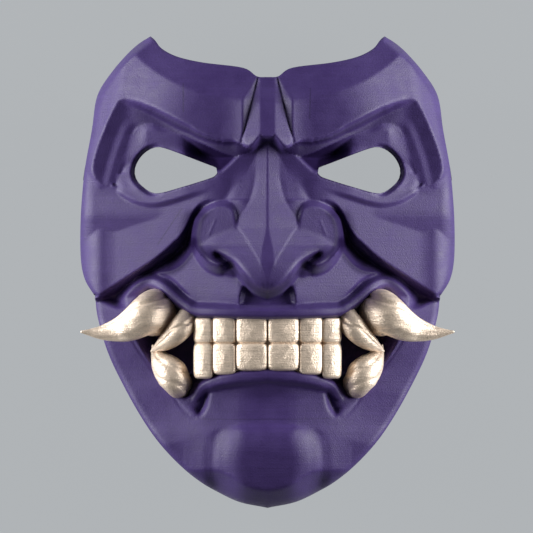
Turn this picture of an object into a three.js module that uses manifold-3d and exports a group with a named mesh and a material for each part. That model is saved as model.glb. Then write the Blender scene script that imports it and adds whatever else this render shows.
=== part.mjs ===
// A full-face samurai mask lying on its back, in millimetres.
// X runs across the face, Y from the chin up to the brow, and Z out of the face.
// The face is one relief: a height over each point of the plane, the same on both halves.
import * as THREE from 'three';
import { mergeVertices } from 'three/addons/utils/BufferGeometryUtils.js';
import Module from 'manifold-3d';

// Driving dimensions
const faceHalf = 88.4; // half the width at the cheeks
const browHigh = 110.8; // horn tips above the middle of the face
const chinLow = -110.8; // chin below the middle of the face
const wall = 3.4; // thickness of the moulded shell
const gap = 0.3; // clearance between touching pieces
const noseTip = 102.5; // height of the nose above the rim
const browHeight = 78; // height of the forehead's front plane
const mouthFloor = 62; // height of the recess behind the teeth, at the middle
const chinRise = 40; // how far the rim lifts at the chin
const hornRise = 30; // how far the rim lifts at the horns
const rimFlat = [-45, 70]; // between these the rim lies on the table
const outerTolerance = 1.2; // how far the facets may stray from the face outside
const innerTolerance = 1.8; // and inside
const innerRounds = 8; // how far the inside is smoothed
const rivetPlace = { y: 47, z: 11, head: 9.2, shank: 4, thick: 1.3 };

const wasm = await Module();
wasm.setup();

// Small mathematics
const { clamp, lerp, degToRad } = THREE.MathUtils;

function softMax(p, q, r) {
  const h = clamp(0.5 + (0.5 * (p - q)) / r, 0, 1);
  return q + (p - q) * h + r * h * (1 - h);
}

function softMin(p, q, r) {
  return -softMax(-p, -q, r);
}

function hinge(v, r = 1) {
  return softMax(v, 0, r);
}

function ease(low, high, v) {
  const t = clamp((v - low) / (high - low), 0, 1);
  return t * t * (3 - 2 * t);
}

function bump(v, width) {
  return Math.exp(-((v / width) ** 2));
}

// straight lines between [place, value] rows
function table(v, rows) {
  if (v <= rows[0][0]) return rows[0][1];
  for (let i = 1; i < rows.length; i++) {
    const [x0, y0] = rows[i - 1];
    const [x1, y1] = rows[i];
    if (v < x1) return y0 + ((v - x0) / (x1 - x0)) * (y1 - y0);
  }
  return rows[rows.length - 1][1];
}

// half a circle that runs on down as a straight steep wall
function ball(u) {
  const turn = 0.93;
  const rise = Math.sqrt(1 - turn * turn);
  return u < turn ? Math.sqrt(1 - u * u) : rise - ((u - turn) * turn) / rise;
}

// Catmull-Rom curve through rows of any length: across, up, and further values
function curve(rows, perSpan, closed = false) {
  const last = rows.length - 1;
  const reflect = (end, next) => end.map((v, k) => 2 * v - next[k]);
  const before = closed ? rows[last] : reflect(rows[0], rows[1]);
  const after = closed ? [rows[0], rows[1]] : [reflect(rows[last], rows[last - 1])];
  const all = [before, ...rows, ...after];
  const points = [];
  for (let i = 1; i < all.length - 2; i++) {
    for (let j = 0; j < perSpan; j++) {
      const t = j / perSpan;
      points.push(all[i].map((b, k) => {
        const a = all[i - 1][k];
        const c = all[i + 1][k];
        const d = all[i + 2][k];
        const cubic = (3 * b - a - 3 * c + d) * t ** 3;
        return 0.5 * (2 * b + (c - a) * t + (2 * a - 5 * b + 4 * c - d) * t * t + cubic);
      }));
    }
  }
  if (!closed) points.push(rows[last]);
  return points;
}

// distance from a line, the side (1 on its left), and the share of the way along it
function nearest(a, y, line) {
  let distance = Infinity;
  let side = 1;
  let share = 0;
  for (let i = 0; i < line.length - 1; i++) {
    const [px, py] = line[i];
    const dx = line[i + 1][0] - px;
    const dy = line[i + 1][1] - py;
    const t = clamp(((a - px) * dx + (y - py) * dy) / (dx * dx + dy * dy), 0, 1);
    const d = Math.hypot(a - px - t * dx, y - py - t * dy);
    if (d < distance - 1e-9) {
      distance = d;
      side = dx * (y - py) - dy * (a - px) < 0 ? -1 : 1;
      share = (i + t) / (line.length - 1);
    }
  }
  return { distance, side, share, signed: distance * side };
}

function along(line, share, column) {
  const place = share * (line.length - 1);
  const i = Math.min(Math.floor(place), line.length - 2);
  return lerp(line[i][column], line[i + 1][column], place - i);
}

function within(a, y, line) {
  let inside = false;
  for (let i = 0, j = line.length - 1; i < line.length; j = i++) {
    const [px, py] = line[i];
    const [qx, qy] = line[j];
    if (py > y !== qy > y && a < px + ((y - py) / (qy - py)) * (qx - px)) inside = !inside;
  }
  return inside;
}

// Lines of the face on one half: across from the middle, and up
const topEdge = curve([
  [0, 90.6], [5, 91], [11.5, 95.1], [30, 97.6], [42, 100.5], [49.5, 104.5], [53, 108.8], [55.2, browHigh],
], 2);
const sideEdge = curve([
  [55.2, browHigh], [62.3, 106.3], [73.5, 94.2], [80.6, 82.8], [82.9, 66.4], [86.4, 46],
  [88.1, 26], [faceHalf, 7.6], [86.4, -3.5], [81.5, -11.6],
], 2);
const jawEdge = curve([
  [81.5, -11.6], [79.7, -22.9], [72.6, -44.1], [55.2, -74.6], [36.4, -94.8], [17, -106.6], [0, chinLow],
], 3);
const skirt = [...sideEdge, ...jawEdge.slice(1)];
const eyeHole = curve([
  [23.4, 46.5], [27, 50.6], [42.5, 55.2], [52.2, 58.4], [58.6, 54.4],
  [62.3, 48.2], [58.8, 40.9], [51.5, 36.8], [36, 39.8], [27, 43.4],
], 2, true);
const rib = curve([[36, 63], [47, 69], [58, 71.8], [65, 67.8], [68.6, 58.5], [73.3, 42.4]], 4);
const lowerLid = curve([[76.8, 41.7], [67.3, 36.6], [58, 32.4], [47.5, 33], [34, 37.5], [21, 41.5]], 4);
const cheekbone = curve([[88, 32], [83, 20], [75.9, 18.1], [60, 22.2], [40, 28.9], [27, 33.6], [15.5, 34.4]], 4);
const muzzleFold = curve([[81.5, -12.6], [68.9, -16.8], [55, -4], [45, 0], [36.5, 4.5], [33.5, 15]], 4);
const chinGroove = curve([[28.6, -56], [31, -62.5], [33.8, -68.2]], 3);
const mouth = curve([
  [0, -22.3], [12, -22.1], [24, -21.7], [33, -21.2], [44, -14.6], [50, -9.4], [55.4, -7.9], [62.4, -13.4],
  [64.8, -20], [61, -32.5], [48.8, -51.5], [38, -59.6], [32.6, -53.2], [23.7, -48.4], [12, -46.2], [0, -45.3],
], 3);

// Rolls, with the height of the crown and the radius as well
const upperLip = curve([
  [67, -17.5, 47.5, 2.6], [64.6, -11.4, 52, 3.1], [55.4, -4.9, 59.3, 3.3], [46, -9.6, 65.8, 3.4],
  [34, -18.4, 73.4, 3.4], [23.7, -19.2, 78.5, 3.4], [0, -19.6, 83.5, 3.4],
], 5);
const lowerLip = curve([[36, -61, 63, 2.6], [29.6, -53.6, 71.2, 3.5], [15, -49.5, 77.2, 3.7], [0, -48.1, 79, 3.7]], 5);
const noseLobe = curve([
  [21.5, 17.5, 86, 6.6], [15.8, 10.2, 89, 6.4], [10.8, 4.6, 93.2, 6.2], [5.4, -1.6, 99, 5.8], [0, -5.6, 101.6, 5.2],
], 4);

// The orbit's upper edge, with the slope of the wall under it and the height of the brow there
const orbitEdge = curve([
  [0, 58.6, 1.5], [3.2, 59, 1.5], [8, 56.8, 2.2], [18, 59.3, 2.4], [29, 62.4, 2.3], [46, 70.8, 1.8],
  [62, 78.7, 1.1], [68.9, 80.5, 0.9], [73, 75.6, 0.9], [78.4, 63.4, 0.9], [82.2, 52.5, 0.9],
  [82.6, 45.2, 0.9], [76, 40.9, 1.1], [70, 38.2, 1.4],
], 3).map(([a, y, slope]) => [a, y, slope, browPlate(a, y)]);
const orbit = [...orbitEdge, ...lowerLid, [12, 42], [-5, 42], [-5, 58.6]];

// Forehead, brows and temples: planes that meet in soft creases
function browPlate(a, y) {
  const lean = 0.13 * (75 - y);
  const front = browHeight + lean - 0.0022 * a * a;
  const outer = browHeight - 2.4 - 0.64 * (a - 38) + 0.6 * lean;
  const templeFold = 62.3 + (101.2 - y) * 0.366;
  const templeEdge = table(y, [[66, 92], [69, 82.3], [83.5, 78.1], [96.5, 68.8], [108, 55]]);
  const topBand = 78.2 + 0.006 * a * a;
  let z = softMin(front, outer, 6);
  z -= 0.75 * hinge(a - templeFold, 1.6);
  z -= 1.2 * hinge(a - templeEdge, 0.8);
  return z - 0.75 * hinge(y - topBand, 0.8);
}

// The two upright grooves of the frown, either side of a flat strip
function frown(a, y) {
  const valley = 5.3 + (89.3 - y) * 0.235;
  const depth = table(y, [[58, 6], [64, 5], [82, 2.6], [91, 1]]);
  const outward = Math.max(11.6 - valley, 0.6);
  const inward = Math.max(valley - 3.6, 0.8);
  const t = a > valley ? (a - valley) / outward : (valley - a) / inward;
  return depth * clamp(1 - t, 0, 1) * ease(54, 60, y);
}

function cheekPlane(a, y) {
  const front = softMin(71.2 - 0.54 * (a - 34) + 0.03 * (y - 20), 73.5, 3);
  return softMin(front, 45.5 - 1.7 * (a - 80.5), 2.5);
}

// Brow, orbit with its rib, eyelids and cheek
function upperFace(a, y) {
  const bone = nearest(a, y, cheekbone);
  const below = cheekPlane(a, y) - 0.28 * hinge(-bone.signed, 1.2);
  const ridge = nearest(a, y, rib);
  const ribShape = table(ridge.signed, [
    [-10, 0], [-6, -1.6], [-2.8, -4.2], [-0.5, -2], [0.5, -2], [2.6, -5], [8, -5.8],
  ]);
  let floor = 66 - 0.42 * (a - 34) - 2 * ease(30, 20, a);
  floor += ribShape * ease(0.05, 0.4, ridge.share) * ease(36, 43, y);
  floor -= 5 * bump(Math.hypot(a - 23.5, y - 51), 7);
  const lid = nearest(a, y, lowerLid);
  const over = -lid.signed;
  const lids = below + (floor - below) * ease(0, 9, over);
  const step = 1.5 * bump(over + 0.8, 1.5) - 0.8 * bump(over - 2.5, 2.4);
  const crease = step * ease(12, 24, a) * ease(0.02, 0.12, lid.share);
  if (within(a, y, orbit)) {
    const edge = nearest(a, y, orbitEdge);
    const under = along(orbitEdge, edge.share, 3) - along(orbitEdge, edge.share, 2) * edge.distance;
    return softMax(lids, under, 1.2) - crease;
  }
  const join = y > 52 ? 0 : Math.max(ease(48, 38, y), ease(80, 75, a));
  const above = browPlate(a, y) - frown(a, y);
  return above + (below - above) * join - crease;
}

// Bridge with two flat front facets that widen to the flanks, then the flank itself
function nose(a, y) {
  const ridge = table(y, [
    [-14, noseTip - 16.5], [-11, noseTip - 6.5], [-8.5, noseTip - 2.1], [-5, noseTip], [0, noseTip - 1],
    [10, noseTip - 4.5], [25, noseTip - 10], [42, 86], [50, 82], [56, 78.5], [60, 74.5], [66, 72],
  ]);
  const half = table(y, [[-12, 5], [-5, 4.2], [5, 2.2], [15, 0.8], [25, 0.4], [60, 0.35]]);
  const flank = table(y, [
    [-14, 2], [0, 2.2], [3.4, 2.9], [9, 6], [17.7, 10.8], [23.2, 15.4],
    [28.3, 12.4], [35.5, 8.8], [42, 6.8], [52, 6], [60, 5.2],
  ]);
  const out = a - flank;
  const high = table(out, [[0, 0], [2.4, 0.5], [6, 3.6], [9.5, 4.8], [15, 11], [30, 40]]);
  const low = 0.25 * hinge(out, 0.8) + 2.2 * hinge(out - 5, 3);
  const side = lerp(low, high, ease(20, 29, y));
  const facet = 0.8 * hinge(Math.min(a, flank) - half, 0.5);
  return ridge - facet - side - 4 * hinge(-10.5 - y, 1);
}

// Wing of the nose, the lobe that runs from it to the tip, and the blind nostril
function noseWing(a, y) {
  const reach = ((Math.abs(a - 24.3) / 11) ** 2.4 + (Math.abs(y - 16) / 15.4) ** 2.4) ** (1 / 2.4);
  const bulb = 87 - 15 * (1 - ball(reach)) - 0.3 * hinge(a - 25, 3) - 0.06 * (y - 16);
  const slant = degToRad(30);
  const long = (a - 20.4) * Math.cos(slant) + (y - 5.6) * Math.sin(slant);
  const short = (y - 5.6) * Math.cos(slant) - (a - 20.4) * Math.sin(slant);
  const nostril = 8 * Math.exp(-((long / 4.4) ** 4) - (short / 1.9) ** 4);
  return softMax(bulb, roll(a, y, noseLobe), 3) - nostril;
}

function roll(a, y, line) {
  const near = nearest(a, y, line);
  const radius = along(line, near.share, 3);
  return along(line, near.share, 2) - radius * (1 - ball(near.distance / radius));
}

function chin(a, y) {
  const under = y + 70.2 + 0.0055 * a * a;
  const boss = 77 - 0.66 * hinge(a - 13.5, 5) - table(under, [[0, 0], [4, 2.6]]);
  const jawSide = softMin(65.5 - 0.66 * (a - 38) + 0.04 * (y + 70), 67 - 0.02 * (a - 30), 2);
  const z = softMax(boss, jawSide, 1.5) - 1.7 * hinge(0.0105 * a * a - 101.8 - y, 1);
  return z - 3 * bump(nearest(a, y, chinGroove).distance, 2.2);
}

// Muzzle between nose and lip, with the groove under the nose, then jaw and chin
function lowerFace(a, y) {
  const grooveEdge = table(y, [[-16, 12.2], [-10.9, 11.6], [-7.3, 10.6], [0, 5]]);
  let muzzle = 80.5 - 0.55 * hinge(a - 12, 2) + 0.05 * (y + 10);
  muzzle -= 3.2 * ease(0.6, -0.6, a - grooveEdge);
  const jaw = softMin(76.5, 66.5 - 0.5 * (a - 32) + 0.1 * (y + 50), 6);
  const z = lerp(muzzle, jaw, ease(-14, -40, y));
  return lerp(z, chin(a, y), ease(-50, -58, y));
}

// Height of the face over a point
function relief(x, y) {
  const a = Math.abs(x);
  const cheekEdge = -12.1 + (78.7 - a) * 0.693;
  let upper = upperFace(a, y) - 1.9 * hinge((cheekEdge - y) * 0.822, 0.8);
  if (a < 33) upper = Math.min(upper, 80 - 3 * hinge(8 - y, 1));
  const fold = nearest(a, y, muzzleFold);
  const foldDepth = table(fold.share, [[0, 2], [0.25, 6], [0.6, 9], [1, 9]]);
  let lower = lowerFace(a, y) - foldDepth * bump(fold.distance, 6) * ease(-30, -10, y);
  lower -= 3 * hinge(y - softMin(cheekEdge, 12, 3), 0.5);
  let z = softMax(upper, lower, 1);
  z = softMax(z, nose(a, y), 1.5);
  z = softMax(z, noseWing(a, y), 1.5);
  z = softMax(z, roll(a, y, upperLip), 0.6);
  z = softMax(z, roll(a, y, lowerLip), 0.6);
  const lip = nearest(a, y, mouth);
  const depth = within(a, y, mouth) ? lip.distance : -lip.distance;
  if (depth > -1) {
    const steep = table(lip.share, [[0, 3], [0.52, 3], [0.6, 1.1], [0.74, 1.1], [0.8, 3], [1, 3]]);
    const recess = softMax(z - steep * hinge(depth, 0.5), mouthFloor - 0.22 * a, 1);
    z = softMin(z, recess, 0.3);
  }
  const turn = clamp(1 - nearest(a, y, skirt).distance / 10, 0, 1);
  return z - 8 * turn ** 2.2 * ease(100, 60, y);
}

// Sheets of heights on a square grid, in right-angled triangles
const gridSize = 257;
const gridHalf = [94, 116];
const cell = gridHalf.map((half) => (2 * half) / (gridSize - 1));

function sampleGrid(height) {
  const heights = new Float64Array(gridSize * gridSize);
  for (let j = 0; j < gridSize; j++) {
    for (let i = 0; i < gridSize; i++) {
      heights[j * gridSize + i] = height(i * cell[0] - gridHalf[0], j * cell[1] - gridHalf[1]);
    }
  }
  return heights;
}

// the inner side of the wall: a ball of the wall's radius rolls under the outer side
function rollUnder(heights, radius) {
  const reach = cell.map((step) => Math.floor(radius / step));
  const inner = new Float64Array(heights.length);
  for (let j = 0; j < gridSize; j++) {
    for (let i = 0; i < gridSize; i++) {
      let low = Infinity;
      for (let dj = -reach[1]; dj <= reach[1]; dj++) {
        for (let di = -reach[0]; di <= reach[0]; di++) {
          const away = Math.hypot(di * cell[0], dj * cell[1]);
          if (away > radius) continue;
          const ii = clamp(i + di, 0, gridSize - 1);
          const jj = clamp(j + dj, 0, gridSize - 1);
          low = Math.min(low, heights[jj * gridSize + ii] - Math.sqrt(radius * radius - away * away));
        }
      }
      inner[j * gridSize + i] = low;
    }
  }
  return inner;
}

// the inside is plainer than the face: hollows are kept and narrow ridges filled
function soften(heights, rounds) {
  let smooth = heights;
  for (let round = 0; round < rounds; round++) {
    const before = smooth;
    smooth = before.map((height, index) => {
      const i = clamp(index % gridSize, 2, gridSize - 3);
      const centre = clamp(Math.floor(index / gridSize), 2, gridSize - 3) * gridSize + i;
      const around = before[centre - 2] + before[centre + 2] + before[centre - 2 * gridSize] + before[centre + 2 * gridSize];
      return Math.min(height, around / 4);
    });
  }
  return smooth;
}

// triangles are halved until the surface strays from them by less than the tolerance, where it is kept
function triangulate(heights, tolerance, kept) {
  const last = gridSize - 1;
  const errors = new Float64Array(heights.length);
  const at = (x, y) => y * gridSize + x;
  const slope = (x, y) => {
    const dx = heights[at(Math.min(x + 1, last), y)] - heights[at(Math.max(x - 1, 0), y)];
    const dy = heights[at(x, Math.min(y + 1, last))] - heights[at(x, Math.max(y - 1, 0))];
    return Math.hypot(1, dx / (2 * cell[0]), dy / (2 * cell[1]));
  };
  const measure = (ax, ay, bx, by, cx, cy, level) => {
    const mx = (ax + bx) / 2;
    const my = (ay + by) / 2;
    if (level > 0) {
      measure(cx, cy, ax, ay, mx, my, level - 1);
      measure(bx, by, cx, cy, mx, my, level - 1);
      return;
    }
    const miss = Math.abs((heights[at(ax, ay)] + heights[at(bx, by)]) / 2 - heights[at(mx, my)]);
    let worst = Math.max(errors[at(mx, my)], (kept[at(mx, my)] * miss) / slope(mx, my));
    if ((ax + cx) % 2 === 0 && (ay + cy) % 2 === 0) {
      worst = Math.max(worst, errors[at((ax + cx) / 2, (ay + cy) / 2)], errors[at((bx + cx) / 2, (by + cy) / 2)]);
    }
    errors[at(mx, my)] = worst;
  };
  for (let level = 2 * Math.log2(last) - 1; level >= 0; level--) {
    measure(0, 0, last, last, last, 0, level);
    measure(last, last, 0, 0, 0, last, level);
  }
  const triangles = [];
  const split = (ax, ay, bx, by, cx, cy) => {
    const mx = (ax + bx) / 2;
    const my = (ay + by) / 2;
    const whole = Number.isInteger(mx) && Number.isInteger(my);
    if (whole && errors[at(mx, my)] > tolerance) {
      split(cx, cy, ax, ay, mx, my);
      split(bx, by, cx, cy, mx, my);
    } else {
      triangles.push(at(ax, ay), at(bx, by), at(cx, cy));
    }
  };
  split(0, 0, last, last, last, 0);
  split(last, last, 0, 0, 0, last);
  return triangles;
}

// everything under a sheet, down to a flat base
function reliefBlock(heights, tolerance, base, kept) {
  const top = triangulate(heights, tolerance, kept);
  const place = (index, z) => [
    (index % gridSize) * cell[0] - gridHalf[0], Math.floor(index / gridSize) * cell[1] - gridHalf[1], z,
  ];
  const positions = [];
  const sides = new Map();
  for (let k = 0; k < top.length; k += 3) {
    let corner = [top[k], top[k + 1], top[k + 2]];
    const [p, q, r] = corner.map((index) => place(index, 0));
    if ((q[0] - p[0]) * (r[1] - p[1]) < (q[1] - p[1]) * (r[0] - p[0])) corner = corner.reverse();
    positions.push(...corner.flatMap((index) => place(index, heights[index])));
    positions.push(...[...corner].reverse().flatMap((index) => place(index, base)));
    corner.forEach((from, n) => {
      const to = corner[(n + 1) % 3];
      if (!sides.delete(`${to},${from}`)) sides.set(`${from},${to}`, [from, to]);
    });
  }
  for (const [from, to] of sides.values()) {
    positions.push(...place(from, heights[from]), ...place(from, base), ...place(to, base));
    positions.push(...place(from, heights[from]), ...place(to, base), ...place(to, heights[to]));
  }
  const geometry = new THREE.BufferGeometry();
  geometry.setAttribute('position', new THREE.Float32BufferAttribute(positions, 3));
  return geometry;
}

// Between three.js geometry and solids
function solid(geometry) {
  const bare = geometry.clone();
  bare.deleteAttribute('normal');
  bare.deleteAttribute('uv');
  const merged = mergeVertices(bare, 1e-4);
  return new wasm.Manifold(new wasm.Mesh({
    numProp: 3,
    vertProperties: new Float32Array(merged.attributes.position.array),
    triVerts: new Uint32Array(merged.index.array),
  }));
}

function toGeometry(manifold) {
  const mesh = manifold.getMesh();
  const geometry = new THREE.BufferGeometry();
  geometry.setAttribute('position', new THREE.BufferAttribute(mesh.vertProperties, 3));
  geometry.setIndex(new THREE.BufferAttribute(mesh.triVerts, 1));
  geometry.computeVertexNormals();
  return geometry;
}

function mirrored(line) {
  return line.map(([a, y]) => [-a, y]).reverse();
}

function prism(points, low, high) {
  const shape = new THREE.Shape(points.map(([x, y]) => new THREE.Vector2(x, y)));
  const geometry = new THREE.ExtrudeGeometry(shape, { depth: high - low, bevelEnabled: false });
  return geometry.translate(0, 0, low);
}

// a line moved sideways, to the right of its direction
function offsetLine(line, distance) {
  return line.map(([a, y], i) => {
    const from = line[Math.max(i - 1, 0)];
    const to = line[Math.min(i + 1, line.length - 1)];
    const length = Math.hypot(to[0] - from[0], to[1] - from[1]);
    return [a + ((to[1] - from[1]) / length) * distance, y - ((to[0] - from[0]) / length) * distance];
  });
}

// The shell
function rimHeight(y) {
  const [low, high] = rimFlat;
  if (y < low) return chinRise * ((low - y) / (low - chinLow)) ** 1.6;
  if (y > high) return hornRise * ((y - high) / (browHigh - high)) ** 1.6;
  return 0;
}

function underRim() {
  const steps = 12;
  const profile = [];
  for (let i = 0; i <= steps; i++) {
    const y = lerp(chinLow - 3, rimFlat[0], i / steps);
    profile.push([y, rimHeight(y)]);
  }
  for (let i = 0; i <= steps; i++) {
    const y = lerp(rimFlat[1], browHigh + 3, i / steps);
    profile.push([y, rimHeight(y)]);
  }
  const below = [[browHigh + 3, -20], [chinLow - 3, -20]];
  const block = prism([...profile, ...below].reverse(), -100, 100);
  block.rotateX(Math.PI / 2).rotateZ(Math.PI / 2);
  return solid(block);
}

// the hole's outer side leans out over the thickness of the wall
function eyeCutter() {
  const straight = prism(eyeHole, -5, 53);
  const flared = prism(eyeHole, 52, 70);
  const place = flared.attributes.position;
  for (let i = 0; i < place.count; i++) {
    const lean = 0.7 * ease(46, 60, place.getX(i)) * (place.getZ(i) - 52);
    place.setX(i, place.getX(i) + lean);
  }
  const tall = prism(eyeHole, 69, 130);
  return solid(straight).add(solid(flared)).add(solid(tall));
}

function mirrorX(geometry) {
  const other = geometry.clone().scale(-1, 1, 1);
  const index = other.index ? other.index.array : null;
  if (index) {
    for (let i = 0; i < index.length; i += 3) [index[i], index[i + 1]] = [index[i + 1], index[i]];
  } else {
    const p = other.attributes.position.array;
    for (let i = 0; i < p.length; i += 9) {
      for (let k = 0; k < 3; k++) [p[i + k], p[i + 3 + k]] = [p[i + 3 + k], p[i + k]];
    }
  }
  return other;
}

function makeShell() {
  const outer = sampleGrid(relief);
  const inner = soften(rollUnder(outer, wall), innerRounds);
  const face = [...topEdge, ...skirt.slice(1)];
  const closed = [...face, [0, chinLow], [-5, 0]];
  const kept = sampleGrid((x, y) => {
    const a = Math.abs(x);
    const out = within(a, y, closed) ? 0 : nearest(a, y, face).distance;
    const inHole = within(a, y, eyeHole) ? nearest(a, y, eyeHole).distance : 0;
    return out > 2 || inHole > 2 ? 0 : 1;
  });
  const outlinePrism = solid(prism([...face.slice(0, -1), ...mirrored(face).slice(0, -1)].reverse(), -10, 130));
  const inset = offsetLine(skirt, wall);
  const [first, second] = inset;
  const beyond = [first[0] + (first[0] - second[0]) * 3, first[1] + (first[1] - second[1]) * 3];
  const hollow = [[0, 130], [beyond[0], 130], beyond, ...inset.slice(0, -1), [0, inset[inset.length - 1][1]]];
  const hollowPrism = solid(prism([...hollow.slice(0, -1), ...mirrored(hollow.slice(1))].reverse(), -15, 130));
  const cavity = solid(reliefBlock(inner, innerTolerance, -12, kept)).intersect(hollowPrism);
  const eye = eyeCutter();
  const otherEye = solid(mirrorX(toGeometry(eye)));
  return solid(reliefBlock(outer, outerTolerance, -5, kept))
    .intersect(outlinePrism)
    .subtract(cavity)
    .subtract(underRim())
    .subtract(eye)
    .subtract(otherEye);
}

// Horns: a round section carried along a curve, thinning to a blunt point
function horn(path, radii, flatness, sides = 10, steps = 8) {
  const centre = new THREE.CatmullRomCurve3(path.map((p) => new THREE.Vector3(...p)));
  const geometry = new THREE.CylinderGeometry(1, 1, 1, sides, steps, false);
  const place = geometry.attributes.position;
  const up = new THREE.Vector3(0, 0, 1);
  const across = new THREE.Vector3(0, 1, 0);
  for (let i = 0; i < place.count; i++) {
    const t = clamp(place.getY(i) + 0.5, 0, 1);
    const tangent = centre.getTangentAt(t);
    const sideways = new THREE.Vector3().crossVectors(Math.abs(tangent.z) > 0.9 ? across : up, tangent);
    const binormal = new THREE.Vector3().crossVectors(tangent, across).normalize();
    sideways.crossVectors(binormal, tangent).normalize();
    const radius = table(t, radii);
    const point = centre.getPointAt(t);
    point.addScaledVector(sideways, place.getX(i) * radius);
    point.addScaledVector(binormal, place.getZ(i) * radius * flatness);
    place.setXYZ(i, point.x, point.y, point.z);
  }
  const made = solid(geometry);
  return made.volume() < 0 ? solid(flipped(geometry)) : made;
}

function flipped(geometry) {
  const turned = geometry.clone();
  const index = turned.index.array;
  for (let i = 0; i < index.length; i += 3) [index[i], index[i + 1]] = [index[i + 1], index[i]];
  return turned;
}

function moved(manifold, x, y, z) {
  return solid(toGeometry(manifold).translate(x, y, z));
}

// cut a piece back so that a small clearance stays round its neighbour
function clearOf(piece, neighbour, shifts) {
  let cut = piece.subtract(neighbour);
  for (const [x, y, z] of shifts) {
    cut = cut.subtract(moved(neighbour, x * gap, y * gap, z * gap));
  }
  return largest(cut);
}

function largest(manifold) {
  const pieces = manifold.decompose();
  return pieces.sort((a, b) => b.volume() - a.volume())[0];
}

const tuskPath = [[51.5, -17.2, 46], [52.6, -17.4, 60], [57.5, -18.8, 69], [67, -22.8, 72.5], [78, -26.9, 72.5], [87.6, -28.2, 70]];
const tuskRadii = [[0, 8], [0.18, 8.6], [0.36, 8.4], [0.55, 6.4], [0.75, 4.2], [0.9, 2.2], [1, 0.5]];
const upperFangPath = [[35.5, -17.5, 48], [37.2, -20, 62], [40.5, -24, 69.5], [46.5, -30.2, 70.8], [55.2, -36.9, 69]];
const upperFangRadii = [[0, 5], [0.4, 5.3], [0.62, 4.9], [0.82, 2.9], [0.94, 1.3], [1, 0.4]];
const lowerFangPath = [[42, -53.5, 44], [43.5, -53, 57], [46, -48.5, 63], [50.2, -42.2, 63.6], [54.2, -34.8, 62.8]];
const lowerFangRadii = [[0, 5.5], [0.35, 6.6], [0.6, 6.4], [0.8, 3.9], [0.93, 1.6], [1, 0.4]];

// Teeth: two rows of six pillows on one backing
const toothEdges = [0, 14.8, 25.6, 34];
const seam = -33.4;
const toothRows = [{ low: seam + 0.2, high: -20.6 }, { low: -47.8, high: seam - 0.2 }];

function frontOf(a) {
  return 78.6 - 0.0105 * a * a;
}

function tooth(from, to, low, high) {
  const width = to - from - 0.2;
  const height = high - low;
  const depth = 9;
  const geometry = new THREE.BoxGeometry(width, height, depth, 3, 3, 1);
  const place = geometry.attributes.position;
  for (let i = 0; i < place.count; i++) {
    const u = place.getX(i) / (width / 2);
    const v = place.getY(i) / (height / 2);
    const x = place.getX(i) + (from + to) / 2;
    const crown = place.getZ(i) > 0 ? frontOf(Math.abs(x)) - 1.5 * (u ** 4 + v ** 4) : frontOf(Math.abs(x)) - depth;
    const pinch = place.getZ(i) > 0 ? 1 - 0.05 * v ** 4 : 1;
    place.setXYZ(i, (from + to) / 2 + place.getX(i) * pinch, place.getY(i) + (low + high) / 2, crown);
  }
  return solid(geometry);
}

function makeTeeth() {
  const backing = new THREE.BoxGeometry(66, 26, 8, 6, 1, 1);
  const place = backing.attributes.position;
  for (let i = 0; i < place.count; i++) {
    const a = Math.abs(place.getX(i));
    const depth = place.getZ(i) > 0 ? frontOf(a) - 3.2 : mouthFloor - 0.22 * a - wall / 2;
    place.setXYZ(i, place.getX(i), place.getY(i) + seam - 0.6, depth);
  }
  let teeth = solid(backing);
  for (const row of toothRows) {
    for (let i = 1; i < toothEdges.length; i++) {
      const one = tooth(toothEdges[i - 1] + 0.1, toothEdges[i] - 0.1, row.low, row.high);
      teeth = teeth.add(one).add(solid(mirrorX(toGeometry(one))));
    }
  }
  return teeth;
}

// Rivets that hold the strap: a domed head outside, a shank through the wall, a flat head inside
const rivetSeat = (() => {
  const i = sideEdge.findIndex(([, y]) => y < rivetPlace.y);
  const [outer, inner] = [sideEdge[i - 1], sideEdge[i]];
  const t = (rivetPlace.y - outer[1]) / (inner[1] - outer[1]);
  const [before, after] = [sideEdge[i - 2], sideEdge[i + 1]];
  return {
    x: lerp(outer[0], inner[0], t),
    turn: Math.atan2(after[0] - before[0], before[1] - after[1]),
  };
})();

function seatOnWall(geometry) {
  return geometry.rotateZ(rivetSeat.turn - Math.PI / 2).translate(rivetSeat.x, rivetPlace.y, rivetPlace.z);
}

function makeRivet() {
  const { head, shank, thick } = rivetPlace;
  const outside = gap;
  const inside = -wall - 2.5 * gap;
  const profile = [
    [0, inside - thick], [head / 2 - 0.8, inside - thick], [head / 2 - 0.8, inside], [shank / 2, inside],
    [shank / 2, outside], [head / 2, outside], [head / 2 - 0.8, outside + thick], [0, outside + thick],
  ];
  return solid(seatOnWall(new THREE.LatheGeometry(profile.map(([r, h]) => new THREE.Vector2(r, h)), 16)));
}

function rivetHole() {
  const radius = rivetPlace.shank / 2 + gap;
  return solid(seatOnWall(new THREE.CylinderGeometry(radius, radius, 20, 12)));
}

// Materials
const purple = new THREE.MeshStandardMaterial({ color: 0x4b3580, roughness: 0.55, metalness: 0 });
const champagne = new THREE.MeshStandardMaterial({ color: 0xcbb597, roughness: 0.35, metalness: 0.7 });
const darkBrown = new THREE.MeshStandardMaterial({ color: 0x1d1715, roughness: 0.45, metalness: 0.2 });

const mask = new THREE.Group();

function addPiece(name, manifold, material) {
  const piece = new THREE.Mesh(toGeometry(manifold), material);
  piece.name = name;
  mask.add(piece);
}

function addPair(name, manifold, material) {
  addPiece(`${name}_right`, manifold, material);
  addPiece(`${name}_left`, solid(mirrorX(toGeometry(manifold))), material);
}

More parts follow.
